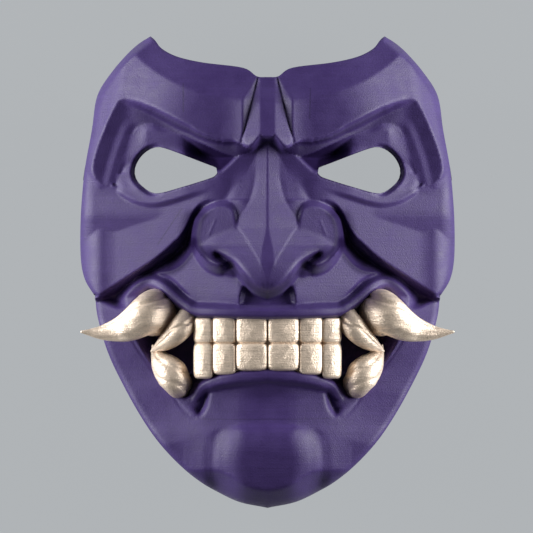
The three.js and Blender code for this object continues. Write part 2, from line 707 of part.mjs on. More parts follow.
const hole = rivetHole();
const shell = makeShell().subtract(hole).subtract(solid(mirrorX(toGeometry(hole))));
const up = [0, 0, 1];
const upright = [up, [0, 1, 0], [0, -1, 0]];
const tusk = clearOf(horn(tuskPath, tuskRadii, 1), shell, [up]);
const upperFang = clearOf(horn(upperFangPath, upperFangRadii, 0.92, 10, 8), shell, upright);
const lowerFang = clearOf(horn(lowerFangPath, lowerFangRadii, 0.85, 10, 8), shell, upright);
let teeth = clearOf(makeTeeth(), shell, upright);
for (const fang of [upperFang, lowerFang]) {
  teeth = clearOf(teeth, fang, [[-1, 0, 0]]);
  teeth = clearOf(teeth, solid(mirrorX(toGeometry(fang))), [[1, 0, 0]]);
}

addPiece('mask_shell', shell, purple);
addPiece('tooth_row', teeth, champagne);
addPair('upper_fang', upperFang, champagne);
addPair('lower_fang', lowerFang, champagne);
addPair('tusk', tusk, champagne);
addPair('strap_rivet', makeRivet(), darkBrown);

export default mask;
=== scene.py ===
import bpy
import numpy as np
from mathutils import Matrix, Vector


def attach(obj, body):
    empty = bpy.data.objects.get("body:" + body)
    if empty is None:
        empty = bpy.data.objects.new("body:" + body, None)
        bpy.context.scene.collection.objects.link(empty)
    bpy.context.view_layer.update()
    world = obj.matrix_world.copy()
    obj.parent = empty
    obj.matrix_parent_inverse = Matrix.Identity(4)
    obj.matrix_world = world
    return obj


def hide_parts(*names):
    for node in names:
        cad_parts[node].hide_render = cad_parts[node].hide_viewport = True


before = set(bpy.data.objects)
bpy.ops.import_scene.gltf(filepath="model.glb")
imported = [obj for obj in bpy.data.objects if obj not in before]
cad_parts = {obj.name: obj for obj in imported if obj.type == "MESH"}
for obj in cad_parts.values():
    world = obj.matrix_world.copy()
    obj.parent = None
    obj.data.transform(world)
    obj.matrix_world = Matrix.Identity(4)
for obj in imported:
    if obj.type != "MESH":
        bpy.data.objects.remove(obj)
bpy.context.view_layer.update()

mm = 0.001   # the shapes below are worked out in millimetres
print("frame loaded")


# Small mathematics on whole arrays

def softMax(p, q, r):   # the larger of two, rounded over where they differ by less than r
    h = np.clip(0.5 + 0.5 * (p - q) / r, 0, 1)
    return q + (p - q) * h + r * h * (1 - h)


def softMin(p, q, r):   # the smaller of two, rounded in the same way
    return -softMax(-p, -q, r)


def hinge(v, r):   # nothing below zero, v above it, rounded between them
    return softMax(v, 0.0, r)


def ease(low, high, v):   # 0 at low, 1 at high, level at both
    t = np.clip((v - low) / (high - low), 0, 1)
    return t * t * (3 - 2 * t)


def bump(v, width):   # a bell of height 1 about zero
    return np.exp(-(v / width) ** 2)


def table(v, rows):   # straight lines between the rows
    rows = np.array(rows, float)
    return np.interp(v, rows[:, 0], rows[:, 1])


def smoothTable(v, rows):   # the same with the corners rounded by a Catmull-Rom curve
    rows = curve(rows, 8)
    return np.interp(v, rows[:, 0], rows[:, 1])


def ball(u):   # half a circle that runs on down as a straight steep wall
    turn = 0.985
    rise = np.sqrt(1 - turn * turn)
    return np.where(u < turn, np.sqrt(np.maximum(1 - u * u, rise * rise)), rise - (u - turn) * turn / rise)


def curve(rows, perSpan, closed=False):   # Catmull-Rom curve through the rows
    p = np.array(rows, float)
    ends = (p[-1:], p[:2]) if closed else (2 * p[:1] - p[1:2], 2 * p[-1:] - p[-2:-1])
    q = np.vstack([ends[0], p, ends[1]])
    a, b, c, d = q[:-3, None], q[1:-2, None], q[2:-1, None], q[3:, None]
    t = np.linspace(0, 1, perSpan, endpoint=False)[None, :, None]
    cubic = (3 * b - a - 3 * c + d) * t ** 3
    points = 0.5 * (2 * b + (c - a) * t + (2 * a - 5 * b + 4 * c - d) * t ** 2 + cubic)
    points = points.reshape(-1, p.shape[1])
    return points if closed else np.vstack([points, p[-1:]])


def nearest(a, y, line):   # signed distance (plus on the line's left), plain distance, share of the way along
    best = np.full(np.shape(a), 1e9)
    side = np.ones(np.shape(a))
    share = np.zeros(np.shape(a))
    count = len(line) - 1
    for i in range(count):
        (px, py), (qx, qy) = line[i][:2], line[i + 1][:2]
        dx, dy = qx - px, qy - py
        t = np.clip(((a - px) * dx + (y - py) * dy) / max(dx * dx + dy * dy, 1e-12), 0, 1)
        d = np.hypot(a - px - t * dx, y - py - t * dy)
        closer = d < best - 1e-9
        best = np.where(closer, d, best)
        side = np.where(closer, np.where(dx * (y - py) < dy * (a - px), -1.0, 1.0), side)
        share = np.where(closer, (i + t) / count, share)
    return best * side, best, share


def along(values, share):   # a line's values read at a share of the way along it
    return np.interp(share * (len(values) - 1), np.arange(len(values)), values)


def within(a, y, line):   # which points a closed line holds
    inside = np.zeros(np.shape(a), bool)
    for (px, py), (qx, qy) in zip(line[:, :2], np.roll(line[:, :2], -1, 0)):
        if py != qy:
            inside ^= ((py > y) != (qy > y)) & (a < px + (y - py) / (qy - py) * (qx - px))
    return inside


# The face as one relief: the height over a point of the plane, the same on both halves.
# a runs across from the middle, y from the chin up to the brow, both in mm.

halfHeight = 110.8   # the outline reaches this far up and down

lines = {
    "topEdge": curve([(0, 90.6), (5, 91), (11.5, 95.1), (30, 97.6), (42, 100.5), (49.5, 104.5), (53, 108.8),
                      (55.2, halfHeight)], 6),
    "sideEdge": curve([(55.2, halfHeight), (62.3, 106.3), (73.5, 94.2), (80.6, 82.8), (82.9, 66.4), (86.4, 46),
                       (88.1, 26), (88.4, 7.6), (86.4, -3.5), (81.5, -11.6)], 6),
    "jawEdge": curve([(81.5, -11.6), (79.7, -22.9), (72.6, -44.1), (55.2, -74.6), (36.4, -94.8),
                      (17, -106.6), (0, -halfHeight)], 8),
    "eyeHole": curve([(23.3, 46.4), (24.1, 48.5), (27.2, 49.7), (36, 53.1), (48.6, 57.8), (53.4, 57.9),
                      (57.4, 55.8), (60.6, 52.2), (62.4, 47.4), (61.2, 42.6), (56.2, 38), (51, 36.5),
                      (39.5, 39.4), (27.4, 43.1), (24.4, 44.5)], 5, True),
    # the brow's lower edge, round the orbit's outer corner and down beside the eye
    "browEdge": curve([(2, 61.5), (7.6, 57.2), (10, 57.6), (14.4, 59.9), (20.2, 60.2), (29.8, 62.7), (42.1, 69),
                       (56.3, 76.1), (66, 80), (68.6, 80.3), (70.7, 78.8), (75, 71.8), (78.8, 61.8), (82.2, 52),
                       (82.9, 48), (82.2, 44.8), (78.8, 41.9), (73.7, 39.3)], 5),
    # the lower border of the band under it: across, up, height
    "bandEdge": curve([(8, 55.4, 79.5), (10.6, 54.6, 79), (14.9, 53.6, 77), (19.5, 54.5, 75),
                       (26.6, 57.7, 71.8), (35.5, 61.6, 67.4), (42.5, 64.6, 64), (48.6, 67.1, 61.6),
                       (54.3, 69.4, 59.9), (59.5, 68.6, 58.2), (63.4, 64.4, 56.8), (65.6, 58.6, 56.3),
                       (68, 52.3, 56.3), (70.2, 46.7, 56.3), (72.3, 42, 56.3)], 14),
    # the inner corner of the eye: under this line the lid and the cheek, over it the hollow of the orbit
    "eyeCorner": curve([(2, 62.5), (6, 60), (9, 57), (12.5, 54.5), (15.5, 51.6), (19, 48.2), (22.5, 46),
                        (30, 46), (45, 47), (66, 46)], 5),
    # the foot of the rib beside the eye, where it meets the groove
    "rib": curve([(50, 67.5), (53.5, 69.2), (57, 69.9), (61, 70), (64.5, 68.7), (66.7, 66.2), (68.5, 61.7),
                  (70.6, 56), (72.4, 50.7), (73.7, 45.5), (75, 40)], 5),
    "lowerLid": curve([(73.4, 41.4), (70.2, 38.8), (67.3, 36.8), (61.6, 33.7), (54.3, 32.2), (47.2, 33.2),
                       (40, 35.4), (31.7, 37.9), (22, 41)], 5),
    # the lower edge of the cheek, which ends in a deep shadow
    "cheekEdge": curve([(90, -19), (81, -13.5), (79.3, -12.4), (66.6, -4.3), (58.7, 0.7), (52.2, 5),
                        (45.7, 10.4), (40.3, 15.8), (37.2, 20.5), (34.4, 26.5), (31.5, 30.3), (26.5, 32.4),
                        (20, 32.9)], 5),
    "gapEdge": curve([(79.3, -12.5), (68.7, -16.9), (66.6, -13), (63.7, -9), (59.4, -5.4), (54.3, -1.8),
                      (50, -0.4), (45, 0.3), (41.4, 2.1), (38.5, 5), (35.4, 9.6), (34.6, 14)], 5),
    "lipGroove": curve([(53.6, -1.5), (45.5, -4.5), (39.7, -10), (34.3, -15.2), (27, -17)], 5),
    "cornerGroove": curve([(28.4, -55.6), (28.9, -57.4), (30.2, -62.8), (33.6, -67.5)], 5),
    "jawLine": curve([(66, -27), (62, -34.6), (57.9, -40.7), (51.8, -48.9), (45.7, -56.4), (40.6, -63.4),
                      (36.6, -67.2), (33.6, -68)], 5),
    "mouth": curve([(0, -22.3), (12, -22.1), (24, -21.7), (33, -21.2), (44, -14.6), (50, -9.4), (55.4, -7.9),
                    (62.4, -13.4), (64.8, -20), (61, -32.5), (48.8, -51.5), (38, -59.6), (32.6, -53.2),
                    (23.7, -48.4), (12, -46.2), (0, -45.3)], 4),
    # rolls: across, up, height of the crown, radius
    "upperLip": curve([(68.4, -17.5, 49, 2.4), (65.4, -12.2, 53, 3), (60.7, -7.8, 57, 3.2),
                       (55, -5.2, 60.5, 3.3), (49, -7.2, 64.8, 3.3), (42, -13.4, 69.2, 3.3),
                       (37, -16.9, 72.4, 3.3), (33, -18.7, 74.4, 3.3), (23.7, -19, 78.8, 3.3),
                       (12, -19.3, 82, 3.3), (0, -19.6, 83, 3.3)], 6),
    "lowerLip": curve([(36, -63.5, 64, 1.4), (32.6, -58, 67.3, 2.4), (29.6, -53.8, 70.6, 3.3),
                       (24.5, -51.3, 74, 3.8), (15, -49.3, 77.4, 4), (0, -47.9, 79.2, 4)], 8),
    # the wing's outline: across, up, radius of its rounded edge
    "wing": curve([(16.5, 30, 1.2), (22.4, 31.5, 1.4), (26.5, 30.2, 1.8), (30, 27.7, 2.4), (32.8, 24.1, 3),
                   (34.2, 19, 3.4), (34.4, 15.4, 3.4), (33.6, 11.3, 3.6), (31, 7.3, 3.8), (27, 3.7, 4),
                   (21.4, 0.4, 3), (15, -1, 3), (12, 6, 3), (13, 22, 3)], 5, True),
    "wingFold": np.array([(24.4, 23.6), (27.2, 17)]),
    # where the nose ends: over the cheek, round the wing and the lobe to under the tip
    "noseFoot": curve([(70, 38), (44, 34.5), (32, 31), (33.6, 25), (34.6, 19), (34.6, 15), (33.5, 10.6),
                       (31, 7), (27, 3.4), (21.5, 1.6), (17, 4.4), (12.9, 0.6), (8.8, -4.4), (4.7, -8.4),
                       (0, -10.8)], 5),
    "noseCrease": curve([(15.6, 22.4), (11.9, 18.4), (8.8, 13.4), (5.7, 8.3), (3.2, 3.7), (1.9, 0),
                         (1.3, -4)], 5),
    "chinTop": curve([(64, -86), (40, -79), (30, -76.5), (24.2, -74.2), (17.4, -72.5), (10.7, -71.2),
                      (0, -70.5)], 5),
    "chinFoot": curve([(46, -96), (38, -93.6), (33.6, -93), (26.9, -92.6), (21.5, -93.4), (16.1, -95.8),
                       (10.7, -99.2), (5.3, -101.2), (0, -101.9)], 5),
}
skirt = np.vstack([lines["sideEdge"], lines["jawEdge"][1:]])
orbit = np.vstack([lines["browEdge"][:, :2], lines["lowerLid"], [[12, 42], [-5, 42], [-5, 61.5]]])
inBand = np.vstack([lines["browEdge"][:, :2], lines["bandEdge"][::-1, :2]])
gap = np.vstack([lines["gapEdge"], [[33.5, 18], [33.8, 24], [31, 28.6], [27, 31], [20, 32]],
                 lines["cheekEdge"][::-1][:-6]])

# How each part of the face is shaped. A plane is its height, a place across and the fall outwards from it, a
# place up and the lean upwards from it. Three numbers are where a slope begins, how steep it is and how rounded
# there. Two numbers are where something begins and where it is complete. A list is a profile of (place, value)
# pairs. A note says where it is otherwise.
face = {
    "forehead": {
        "height": 78, "rise": 0.13, "riseFrom": 75, "bow": 0.0022, "outerFall": 0.6,
        "fold": 41.5, "foldLean": 0.45, "foldFrom": 85, "foldRound": 5,
        "shoulder": 0.021, "shoulderUp": (88, 77), "shoulderAcross": (11.6, 22),   # highest up to, ends at
    },
    "temple": {
        "plane": (58.5, 69.2, 1.15, 81, -0.4), "round": 1.4,
        "rimStrip": [(66, 92), (69, 82.3), (83.5, 78.1), (96.5, 68.8), (108, 55)], "rimSlope": (0, 1.2, 0.8),
        "topBand": (79.4, 0.0035, 0.0000006),   # place up, and factors of the square and the fourth power
        "topSlope": (0, 0.45, 0.6),
    },
    "frown": {
        "valley": 4.4, "valleyLean": 0.252, "valleyFrom": 90.8, "valleyRound": 0.2,
        "edge": 11.6, "edgeLean": 0.6, "edgeFrom": 79.7, "ridge": (3.3, 0.58, 0.5),
        "facet": 0.6, "facetRound": 0.4, "endSlope": (0, 1.6, 1),
        "end": [(0, 60.4), (3.1, 63.4), (5, 61), (7.3, 57.9), (9, 57.6), (10.5, 58.6), (11.8, 61)],
        "groove": 0.5, "grooveWidth": 0.5, "grooveUp": (92, 86),
    },
    "cheek": {
        "plane": (73, 34, 0.48, 20, 0.03), "cap": (77.5, 34, 0, 20, 0.03), "capRound": 3,
        "level": (74.5, 0.3, 4), "turn": (77.3, 0.062),   # a turn is a place and the factor of a square
        "bone": (34.2, -0.1, 30.7, 0.31),   # as in a plane, over the cheek's plane
        "boneRoll": (27, 0.5, 3), "boneTurn": (81.5, 0.06), "boneRound": 0.15,
    },
    "eye": {
        "height": 64.2, "back": (41, 0.28, 6), "outer": (60, 0.05, 4), "rise": 0.05, "riseFrom": 55,
        "corner": 9, "cornerAcross": (40, 21), "cornerUp": (45, 51),
    },
    "lid": {
        "step": 1.9, "stepFrom": (-0.05, 0.25), "stepTo": (0.98, 0.75), "edge": 2.9, "noseRound": 1,
        "browUp": (60, 34), "browAcross": (64, 56), "browBelow": 50,
    },
    "hollow": {
        "drop": 0.8, "innerDrop": 1.2, "innerAcross": (40, 27), "dropRound": 0.8, "round": 2,
        "lidFrom": 5, "lidOver": 4,
        "ramp": 0.36, "rampBend": 0.016, "rampRound": 0.6, "rampAcross": (38, 48),
        "groove": 0.12, "rampFoot": 0.5, "grooveRound": 0.4, "grooveSink": 20, "grooveAcross": (62, 52),
        "wall": 2.8, "wallRound": 1, "wallSink": 3, "wallAcross": (36, 50),
    },
    "band": {
        "step": 1.6, "stepAcross": (60, 36), "topAcross": (3, 14), "sink": 1.4, "sinkAcross": (57, 68),
        "height": 55.1, "rise": (62, 0.11, 4), "rib": [(-3.2, 1.2), (0, 1.05), (3.2, 0)], "round": 0.8,
    },
    "nose": {
        "ridge": [(-16, 80), (-13, 88), (-10.6, 94), (-8, 97.6), (-4, 99.6), (2, 99.4), (10, 96.4), (25, 90.6),
                  (34, 86.8), (46, 82.6), (52, 81), (57, 80.4), (60, 79.6), (63, 77.6), (66, 74), (68, 71)],
        "flat": [(-12, 3), (-4, 2), (4, 3), (10, 2.4), (20, 0.4), (60, 0)],
        "facet": [(-10, 0.12), (-2, 0.24), (4, 0.36), (12, 0.5), (20, 0.52)], "facetRound": 0.25,
        "flank": [(12, 30), (20, 22), (24.1, 15.7), (25.6, 13.4), (29.3, 10.3), (35.8, 7.4), (43.5, 5.8),
                  (51.1, 5.5), (56.7, 4.7), (60, 4)],
        "slope": [(20, 0.5), (30, 0.36), (40, 0.32), (52, 0.12)], "slopeRound": [(24, 0.8), (34, 3)],
        "far": [(28, 0.2), (34, 0.3), (40, 0.12), (52, 0)], "farFrom": 8, "farRound": 2, "outer": (27, 0.3, 4),
        "lobe": 0.22, "lobeAcross": (-0.4, 0.6), "lobeStart": (0, 0.15), "lobeUp": (24, 22),
        "foot": 3.2, "footUp": (40, 30), "rootDrop": 14, "rootUp": (42, 47),
    },
    "wing": {
        "plane": (82.8, 22, 0.33, 16, -0.02), "middle": 17, "ends": (8, 0.12, 4),
        "fold": 0.15, "foldWidth": 0.5, "round": 0.8,
    },
    "nostril": {
        "across": 20.8, "up": 6, "slant": 31, "depth": 7, "dip": 1.6,
        "halfSlit": (3.9, 0.9), "halfDip": (6, 3),   # half lengths and half widths
    },
    "chin": {
        "height": [(-112, 70), (-100, 74.5), (-85, 77), (-76, 76.6), (-70.5, 75), (-62, 73.4), (-54, 73.2),
                   (-44, 75)],
        "hollow": [(0, 0), (8, 0), (12, 0.45), (16, 1.4), (26, 4.3), (32, 6.3), (42, 10), (60, 16)],
        "boss": [(0, 0), (8, 0), (12, 0.6), (16, 2.3), (20, 4.6), (24, 6.7), (27, 7.6), (30, 8.5), (34, 10.5),
                 (38, 12.4), (42, 14), (60, 19.4)],
        "wider": [(-112, 0), (-98, 1), (-90, 2), (-84, 1.5), (-78, 0), (-73, -1.8), (-66, -2.5)],
        "widerAcross": (30, 22), "proud": 2.9, "edgeRound": 0.3,
        "edge": 0.8, "softMiddle": 2.2, "middleAcross": (14, 6), "softSide": 5, "sideAcross": (24, 34),
        "foot": 0.95, "footEased": 0.3, "footAcross": (22, 30), "footRound": 0.5,
    },
    "muzzle": {
        "height": 80.5, "side": (12, 0.52, 2), "lean": 0.05, "leanFrom": -10,
        "groove": 3.2, "grooveSoft": (0.5, -0.5),
        "grooveEdge": [(-16, 12.4), (-10.9, 11.6), (-7.3, 10.6), (-4.4, 8.8), (0, 5)],
    },
    "jaw": {
        "cap": 76.5, "capRound": 6, "plane": (64.5, 38, 0.33, -50, 0.12), "low": (50, 0.22, 6),
        "muzzleUp": (-10, -30), "chinUp": (-50, -60), "chinAcross": (66, 40), "chinSlant": 0.3, "chinFrom": -60,
    },
    "gap": {
        "edge": (0, 7, 0.5), "undercut": (0, 4, 0.5), "undercutAbove": -14,
        "wall": [(0, 6), (0.2, 6), (0.45, 4), (0.6, 2), (1, 3)],
        "floor": 46, "floorSlope": 0.1, "floorAcross": 60, "floorRound": 2,
    },
    "grooves": {
        "lip": 2.2, "lipWidth": 1.1, "jaw": 0.4, "jawWidth": 0.45,
        "corner": 3.4, "cornerReach": 2.6, "cornerWidth": 1.5, "cornerFrom": (0, 0.15), "cornerTo": (1, 0.8),
    },
    "mouth": {
        "wall": [(0, 3), (0.52, 3), (0.6, 2.4), (0.74, 2.4), (0.8, 3), (1, 3)], "wallRound": 0.5,
        "floor": 54, "floorFall": 0.2, "floorRound": 1, "around": 1, "edgeRound": 0.3,
    },
    "joins": (0.5, 0.7, 0.5, 0.5),   # roundings of the lower face, the nose and the two lips into the rest
    "rim": {"width": 3, "drop": 1.4, "power": 2.2},
}


def plane(a, y, rows):   # its height less its fall and plus its lean over a point
    height, across, fall, up, lean = rows
    return height - fall * (a - across) + lean * (y - up)


def beyond(v, rows):   # how far v is past a place, rounded there, times a slope
    start, slope, r = rows
    return slope * hinge(v - start, r)


def bend(v, rows):   # the square of how far v is past a place, times a factor
    start, factor = rows
    return factor * np.clip(v - start, 0, None) ** 2


def forehead(a, y):   # a slightly bowed plane, cut by one that falls outwards from a slanted fold
    s = face["forehead"]
    rise = s["rise"] * (s["riseFrom"] - y)
    fold = s["fold"] + s["foldLean"] * (s["foldFrom"] - y)
    front = s["height"] + rise - s["bow"] * a * a
    outer = s["height"] + rise - s["bow"] * fold * fold - s["outerFall"] * (a - fold)
    near, far = s["shoulderAcross"]
    shoulder = s["shoulder"] * np.clip(far - np.maximum(a, near), 0, None) ** 2
    return softMin(front, outer, s["foldRound"]) + shoulder * ease(*s["shoulderUp"], y)


def browPlate(a, y):   # the forehead cut by the temple's plane, falling off at the rim and along the top
    s = face["temple"]
    level, square, fourth = s["topBand"]
    topBand = level + square * a ** 2 + fourth * a ** 4
    z = softMin(forehead(a, y), plane(a, y, s["plane"]), s["round"])
    return z - beyond(a - table(y, s["rimStrip"]), s["rimSlope"]) - beyond(y - topBand, s["topSlope"])


def frown(a, y):   # a flat strip with a ridge on each side that slopes to a valley, then a facet up to the brow
    s = face["frown"]
    halfStrip, steep, _ = s["ridge"]
    valley = s["valley"] + (s["valleyFrom"] - y) * s["valleyLean"]
    edge = s["edge"] - np.clip(y - s["edgeFrom"], 0, None) * s["edgeLean"]
    plate = browPlate(np.maximum(a, edge), y)
    low = plate - s["facet"] * np.clip(edge - valley, 0, None)
    crest = low + steep * np.clip(valley - halfStrip, 0, None)
    ridge = crest - beyond(a, s["ridge"]) - beyond(table(a, s["end"]) - y, s["endSlope"])
    facet = softMin(low + s["facet"] * (a - valley), plate, s["facetRound"])
    groove = s["groove"] * bump(a - valley, s["grooveWidth"]) * ease(*s["grooveUp"], y)
    return softMax(ridge, facet, s["valleyRound"]) * (a < valley) + facet * (a >= valley) - groove


def cheek(a, y):
    # a plane that falls outwards, levels out and curves down to the side edge, or the cheekbone over it:
    # the same plane tilted up to the eye, rolled off and curved down
    s = face["cheek"]
    flat = plane(a, y, s["plane"])
    z = softMin(flat, plane(a, y, s["cap"]), s["capRound"]) + beyond(a, s["level"]) - bend(a, s["turn"])
    bone = plane(a, y, (flat, *s["bone"])) - beyond(y, s["boneRoll"]) - bend(a, s["boneTurn"])
    return softMax(z, bone, s["boneRound"])


def eyePlane(a, y):   # the plane that holds the eye hole, bent back outwards, with the deep inner corner
    s = face["eye"]
    z = s["height"] - beyond(a, s["back"]) - beyond(a, s["outer"])
    corner = s["corner"] * ease(*s["cornerAcross"], a) * ease(*s["cornerUp"], y)
    return z + s["rise"] * (y - s["riseFrom"]) - corner


def orbitFloor(a, y, lidPlane, lid):
    # the eye's plane, met by the lid's plane at the inner corner; beside the eye it becomes a ramp up from the
    # groove at the band's foot, and under the band a wall
    s = face["hollow"]
    over, _, _ = nearest(a, y, lines["eyeCorner"])
    drop = s["drop"] + s["innerDrop"] * ease(*s["innerAcross"], a)
    z = softMax(eyePlane(a, y), lidPlane - drop * hinge(over, s["dropRound"]), s["round"])
    _, away, share = nearest(a, y, lines["bandEdge"])
    level = along(lines["bandEdge"][:, 2], share)
    groove = level - s["groove"] * away
    ramp = softMin(z, level + s["ramp"] * away + s["rampBend"] * away ** 2, s["rampRound"])
    ramp = softMax(ramp, groove, s["rampFoot"])
    z = z + (ramp - z) * ease(*s["rampAcross"], a)
    z = z + (lidPlane - z) * ease(s["lidFrom"], 0, -lid) * ease(0, -s["lidOver"], over)
    z = softMax(z, groove - s["grooveSink"] * ease(*s["grooveAcross"], a), s["grooveRound"])
    return softMax(z, level - s["wall"] * away - s["wallSink"] * ease(*s["wallAcross"], a), s["wallRound"])


def browBand(a, y, outside):
    # straight from the brow's edge down to the band's own border; beside the eye a flat with a rib along it
    s = face["band"]
    _, awayBrow, _ = nearest(a, y, lines["browEdge"])
    _, away, share = nearest(a, y, lines["bandEdge"])
    level = along(lines["bandEdge"][:, 2], share)
    t = awayBrow / np.maximum(awayBrow + away, 0.01)
    top = outside + (level + s["step"] * ease(*s["stepAcross"], a) - outside) * ease(*s["topAcross"], a)
    slanted = top + (level - top) * t - s["sink"] * ease(*s["sinkAcross"], a)
    rib, _, _ = nearest(a, y, lines["rib"])
    return softMax(slanted, s["height"] + beyond(y, s["rise"]) + table(rib, s["rib"]), s["round"])


def upperFace(a, y):   # the orbit and its band inside the brow's edge; round them brow, lid and cheek
    s = face["lid"]
    lower = cheek(a, y)
    brow = np.where(a < 20, frown(a, y), browPlate(a, y))
    join = np.maximum(ease(*s["browUp"], y), ease(*s["browAcross"], a) * (y < s["browBelow"]))
    outside = brow + (lower - brow) * join
    lid, _, share = nearest(a, y, lines["lowerLid"])
    step = s["step"] * ease(*s["stepFrom"], share) * ease(*s["stepTo"], share)
    lidPlane = softMax(lower + step, noseTent(a, y), s["noseRound"])
    below = lower + step * ease(-s["edge"], 0, -lid)
    z = np.where(within(a, y, inBand), browBand(a, y, outside), orbitFloor(a, y, lidPlane, lid))
    return np.where(within(a, y, orbit), z, np.where(lid < 0, outside, np.maximum(outside, below)))


def noseTent(a, y):   # the ridge less a facet's slope out to the flank and three gentler slopes beyond it
    s = face["nose"]
    flank = smoothTable(y, s["flank"])
    out = a - flank
    z = smoothTable(y, s["ridge"])
    z = z - beyond(np.minimum(a, flank), (table(y, s["flat"]), table(y, s["facet"]), s["facetRound"]))
    z = z - beyond(out, (0, table(y, s["slope"]), table(y, s["slopeRound"])))
    return z - beyond(out, (s["farFrom"], table(y, s["far"]), s["farRound"])) - beyond(a, s["outer"])


def wingInside(a, y):   # how far inside the wing's outline, and the radius of its edge there
    line = np.vstack([lines["wing"], lines["wing"][:1]])
    _, away, share = nearest(a, y, line)
    return np.where(within(a, y, line), away, -away), along(line[:, 2], share)


def nostrilAxes(a, y):   # along and across the slit of the nostril, from its middle
    s = face["nostril"]
    slant = np.radians(s["slant"])
    right, up = a - s["across"], y - s["up"]
    return right * np.cos(slant) + up * np.sin(slant), up * np.cos(slant) - right * np.sin(slant)


def edgeDrop(inside, radius):   # a quarter circle down to an edge and a steep wall past it
    return radius * (1 - ball(np.clip((radius - inside) / radius, 0, 9)))


def nose(a, y):   # the tent, its foot rounded off and its lobes set off, and the wings, less the nostrils
    s = face["nose"]
    foot, _, _ = nearest(a, y, lines["noseFoot"])
    crease, _, share = nearest(a, y, lines["noseCrease"])
    lobe = s["lobe"] * ease(*s["lobeAcross"], crease) * ease(*s["lobeStart"], share) * ease(*s["lobeUp"], y)
    sunk = edgeDrop(-foot, s["foot"]) * ease(*s["footUp"], y)
    tent = noseTent(a, y) - lobe - sunk - s["rootDrop"] * ease(*s["rootUp"], y)
    s = face["wing"]
    inside, radius = wingInside(a, y)
    wing = plane(a, y, s["plane"]) - beyond(np.abs(y - s["middle"]), s["ends"]) - edgeDrop(inside, radius)
    wing = wing + s["fold"] * bump(nearest(a, y, lines["wingFold"])[1], s["foldWidth"])
    z = softMax(tent, wing, s["round"])
    s = face["nostril"]
    long, short = nostrilAxes(a, y)
    slit = np.exp(-(long / s["halfSlit"][0]) ** 4 - (short / s["halfSlit"][1]) ** 4)
    dip = np.exp(-(long / s["halfDip"][0]) ** 2 - (short / s["halfDip"][1]) ** 2)
    return z - (s["depth"] * slit + s["dip"] * dip)


def roll(a, y, line):   # a rounded bead along a line, its crown a little flatter than a circle
    _, away, share = nearest(a, y, line)
    radius = along(line[:, 3], share)
    return along(line[:, 2], share) - radius * (1 - ball((away / radius) ** 1.3))


def chin(a, y):
    # the middle's height less a hollow under the lip; past the top line it passes into a boss with steeper
    # sides, and past the foot line it falls off
    s = face["chin"]
    top, _, _ = nearest(a, y, lines["chinTop"])
    hollow = smoothTable(a, s["hollow"])
    boss = smoothTable(a - smoothTable(y, s["wider"]) * ease(*s["widerAcross"], a), s["boss"])
    soft = s["edge"] + s["softMiddle"] * ease(*s["middleAcross"], a) + s["softSide"] * ease(*s["sideAcross"], a)
    share = 1 - np.exp(-hinge(top, s["edgeRound"]) / soft)
    z = smoothTable(y, s["height"]) - hollow + (hollow - boss + s["proud"]) * share
    foot, _, _ = nearest(a, y, lines["chinFoot"])
    return z - (s["foot"] - s["footEased"] * ease(*s["footAcross"], a)) * hinge(foot, s["footRound"])


def lowerFace(a, y):   # the muzzle with the groove under the nose, blended into the jaw and that into the chin
    s = face["muzzle"]
    muzzle = s["height"] - beyond(a, s["side"]) + s["lean"] * (y - s["leanFrom"])
    muzzle = muzzle - s["groove"] * ease(*s["grooveSoft"], a - table(y, s["grooveEdge"]))
    s = face["jaw"]
    jaw = softMin(s["cap"] + 0 * a, plane(a, y, s["plane"]) + beyond(-y, s["low"]), s["capRound"])
    z = muzzle + (jaw - muzzle) * ease(*s["muzzleUp"], y)
    slanted = a + s["chinSlant"] * (y - s["chinFrom"])
    return z + (chin(a, y) - z) * ease(*s["chinUp"], y) * ease(*s["chinAcross"], slanted)


def cheekGap(a, y, z, edge):   # the face falls to a floor in the gap and is cut away behind the cheek's edge
    s = face["gap"]
    _, away, share = nearest(a, y, lines["gapEdge"])
    floor = s["floor"] + s["floorSlope"] * y - s["floorSlope"] * (a - s["floorAcross"])
    sunk = softMax(z - table(share, s["wall"]) * away, floor, s["floorRound"])
    return np.where(within(a, y, gap), sunk, z) - beyond(-edge, s["undercut"]) * (y > s["undercutAbove"])


def cutGrooves(a, y, z):   # bells along three lines; the one at the mouth's corner dies away slowly on one side
    s = face["grooves"]
    z = z - s["lip"] * bump(nearest(a, y, lines["lipGroove"])[1], s["lipWidth"])
    side, away, share = nearest(a, y, lines["cornerGroove"])
    taper = ease(*s["cornerFrom"], share) * ease(*s["cornerTo"], share)
    cut = np.where(side > 0, np.exp(-away / s["cornerReach"]), bump(away, s["cornerWidth"]))
    z = z - s["corner"] * cut * taper
    return z - s["jaw"] * bump(nearest(a, y, lines["jawLine"])[1], s["jawWidth"])


def openMouth(a, y, z):   # inside the mouth the surface falls steeply from its edge to a floor
    s = face["mouth"]
    _, away, share = nearest(a, y, lines["mouth"])
    depth = np.where(within(a, y, lines["mouth"]), away, -away)
    sunk = z - table(share, s["wall"]) * hinge(depth, s["wallRound"])
    recess = softMax(sunk, s["floor"] - s["floorFall"] * a, s["floorRound"])
    return np.where(depth > -s["around"], softMin(z, recess, s["edgeRound"]), z)


def relief(x, y):   # the highest of upper face, lower face, nose and lips; then the mouth and the rounded rim
    a = np.abs(x)
    edge, _, _ = nearest(a, y, lines["cheekEdge"])
    z = upperFace(a, y) - beyond(edge, face["gap"]["edge"])
    lower = cutGrooves(a, y, cheekGap(a, y, lowerFace(a, y), edge))
    parts = (lower, nose(a, y), roll(a, y, lines["upperLip"]), roll(a, y, lines["lowerLip"]))
    for part, r in zip(parts, face["joins"]):
        z = softMax(z, part, r)
    s = face["rim"]
    turn = np.clip(1 - nearest(a, y, skirt)[1] / s["width"], 0, 1)
    return openMouth(a, y, z) - s["drop"] * turn ** s["power"]


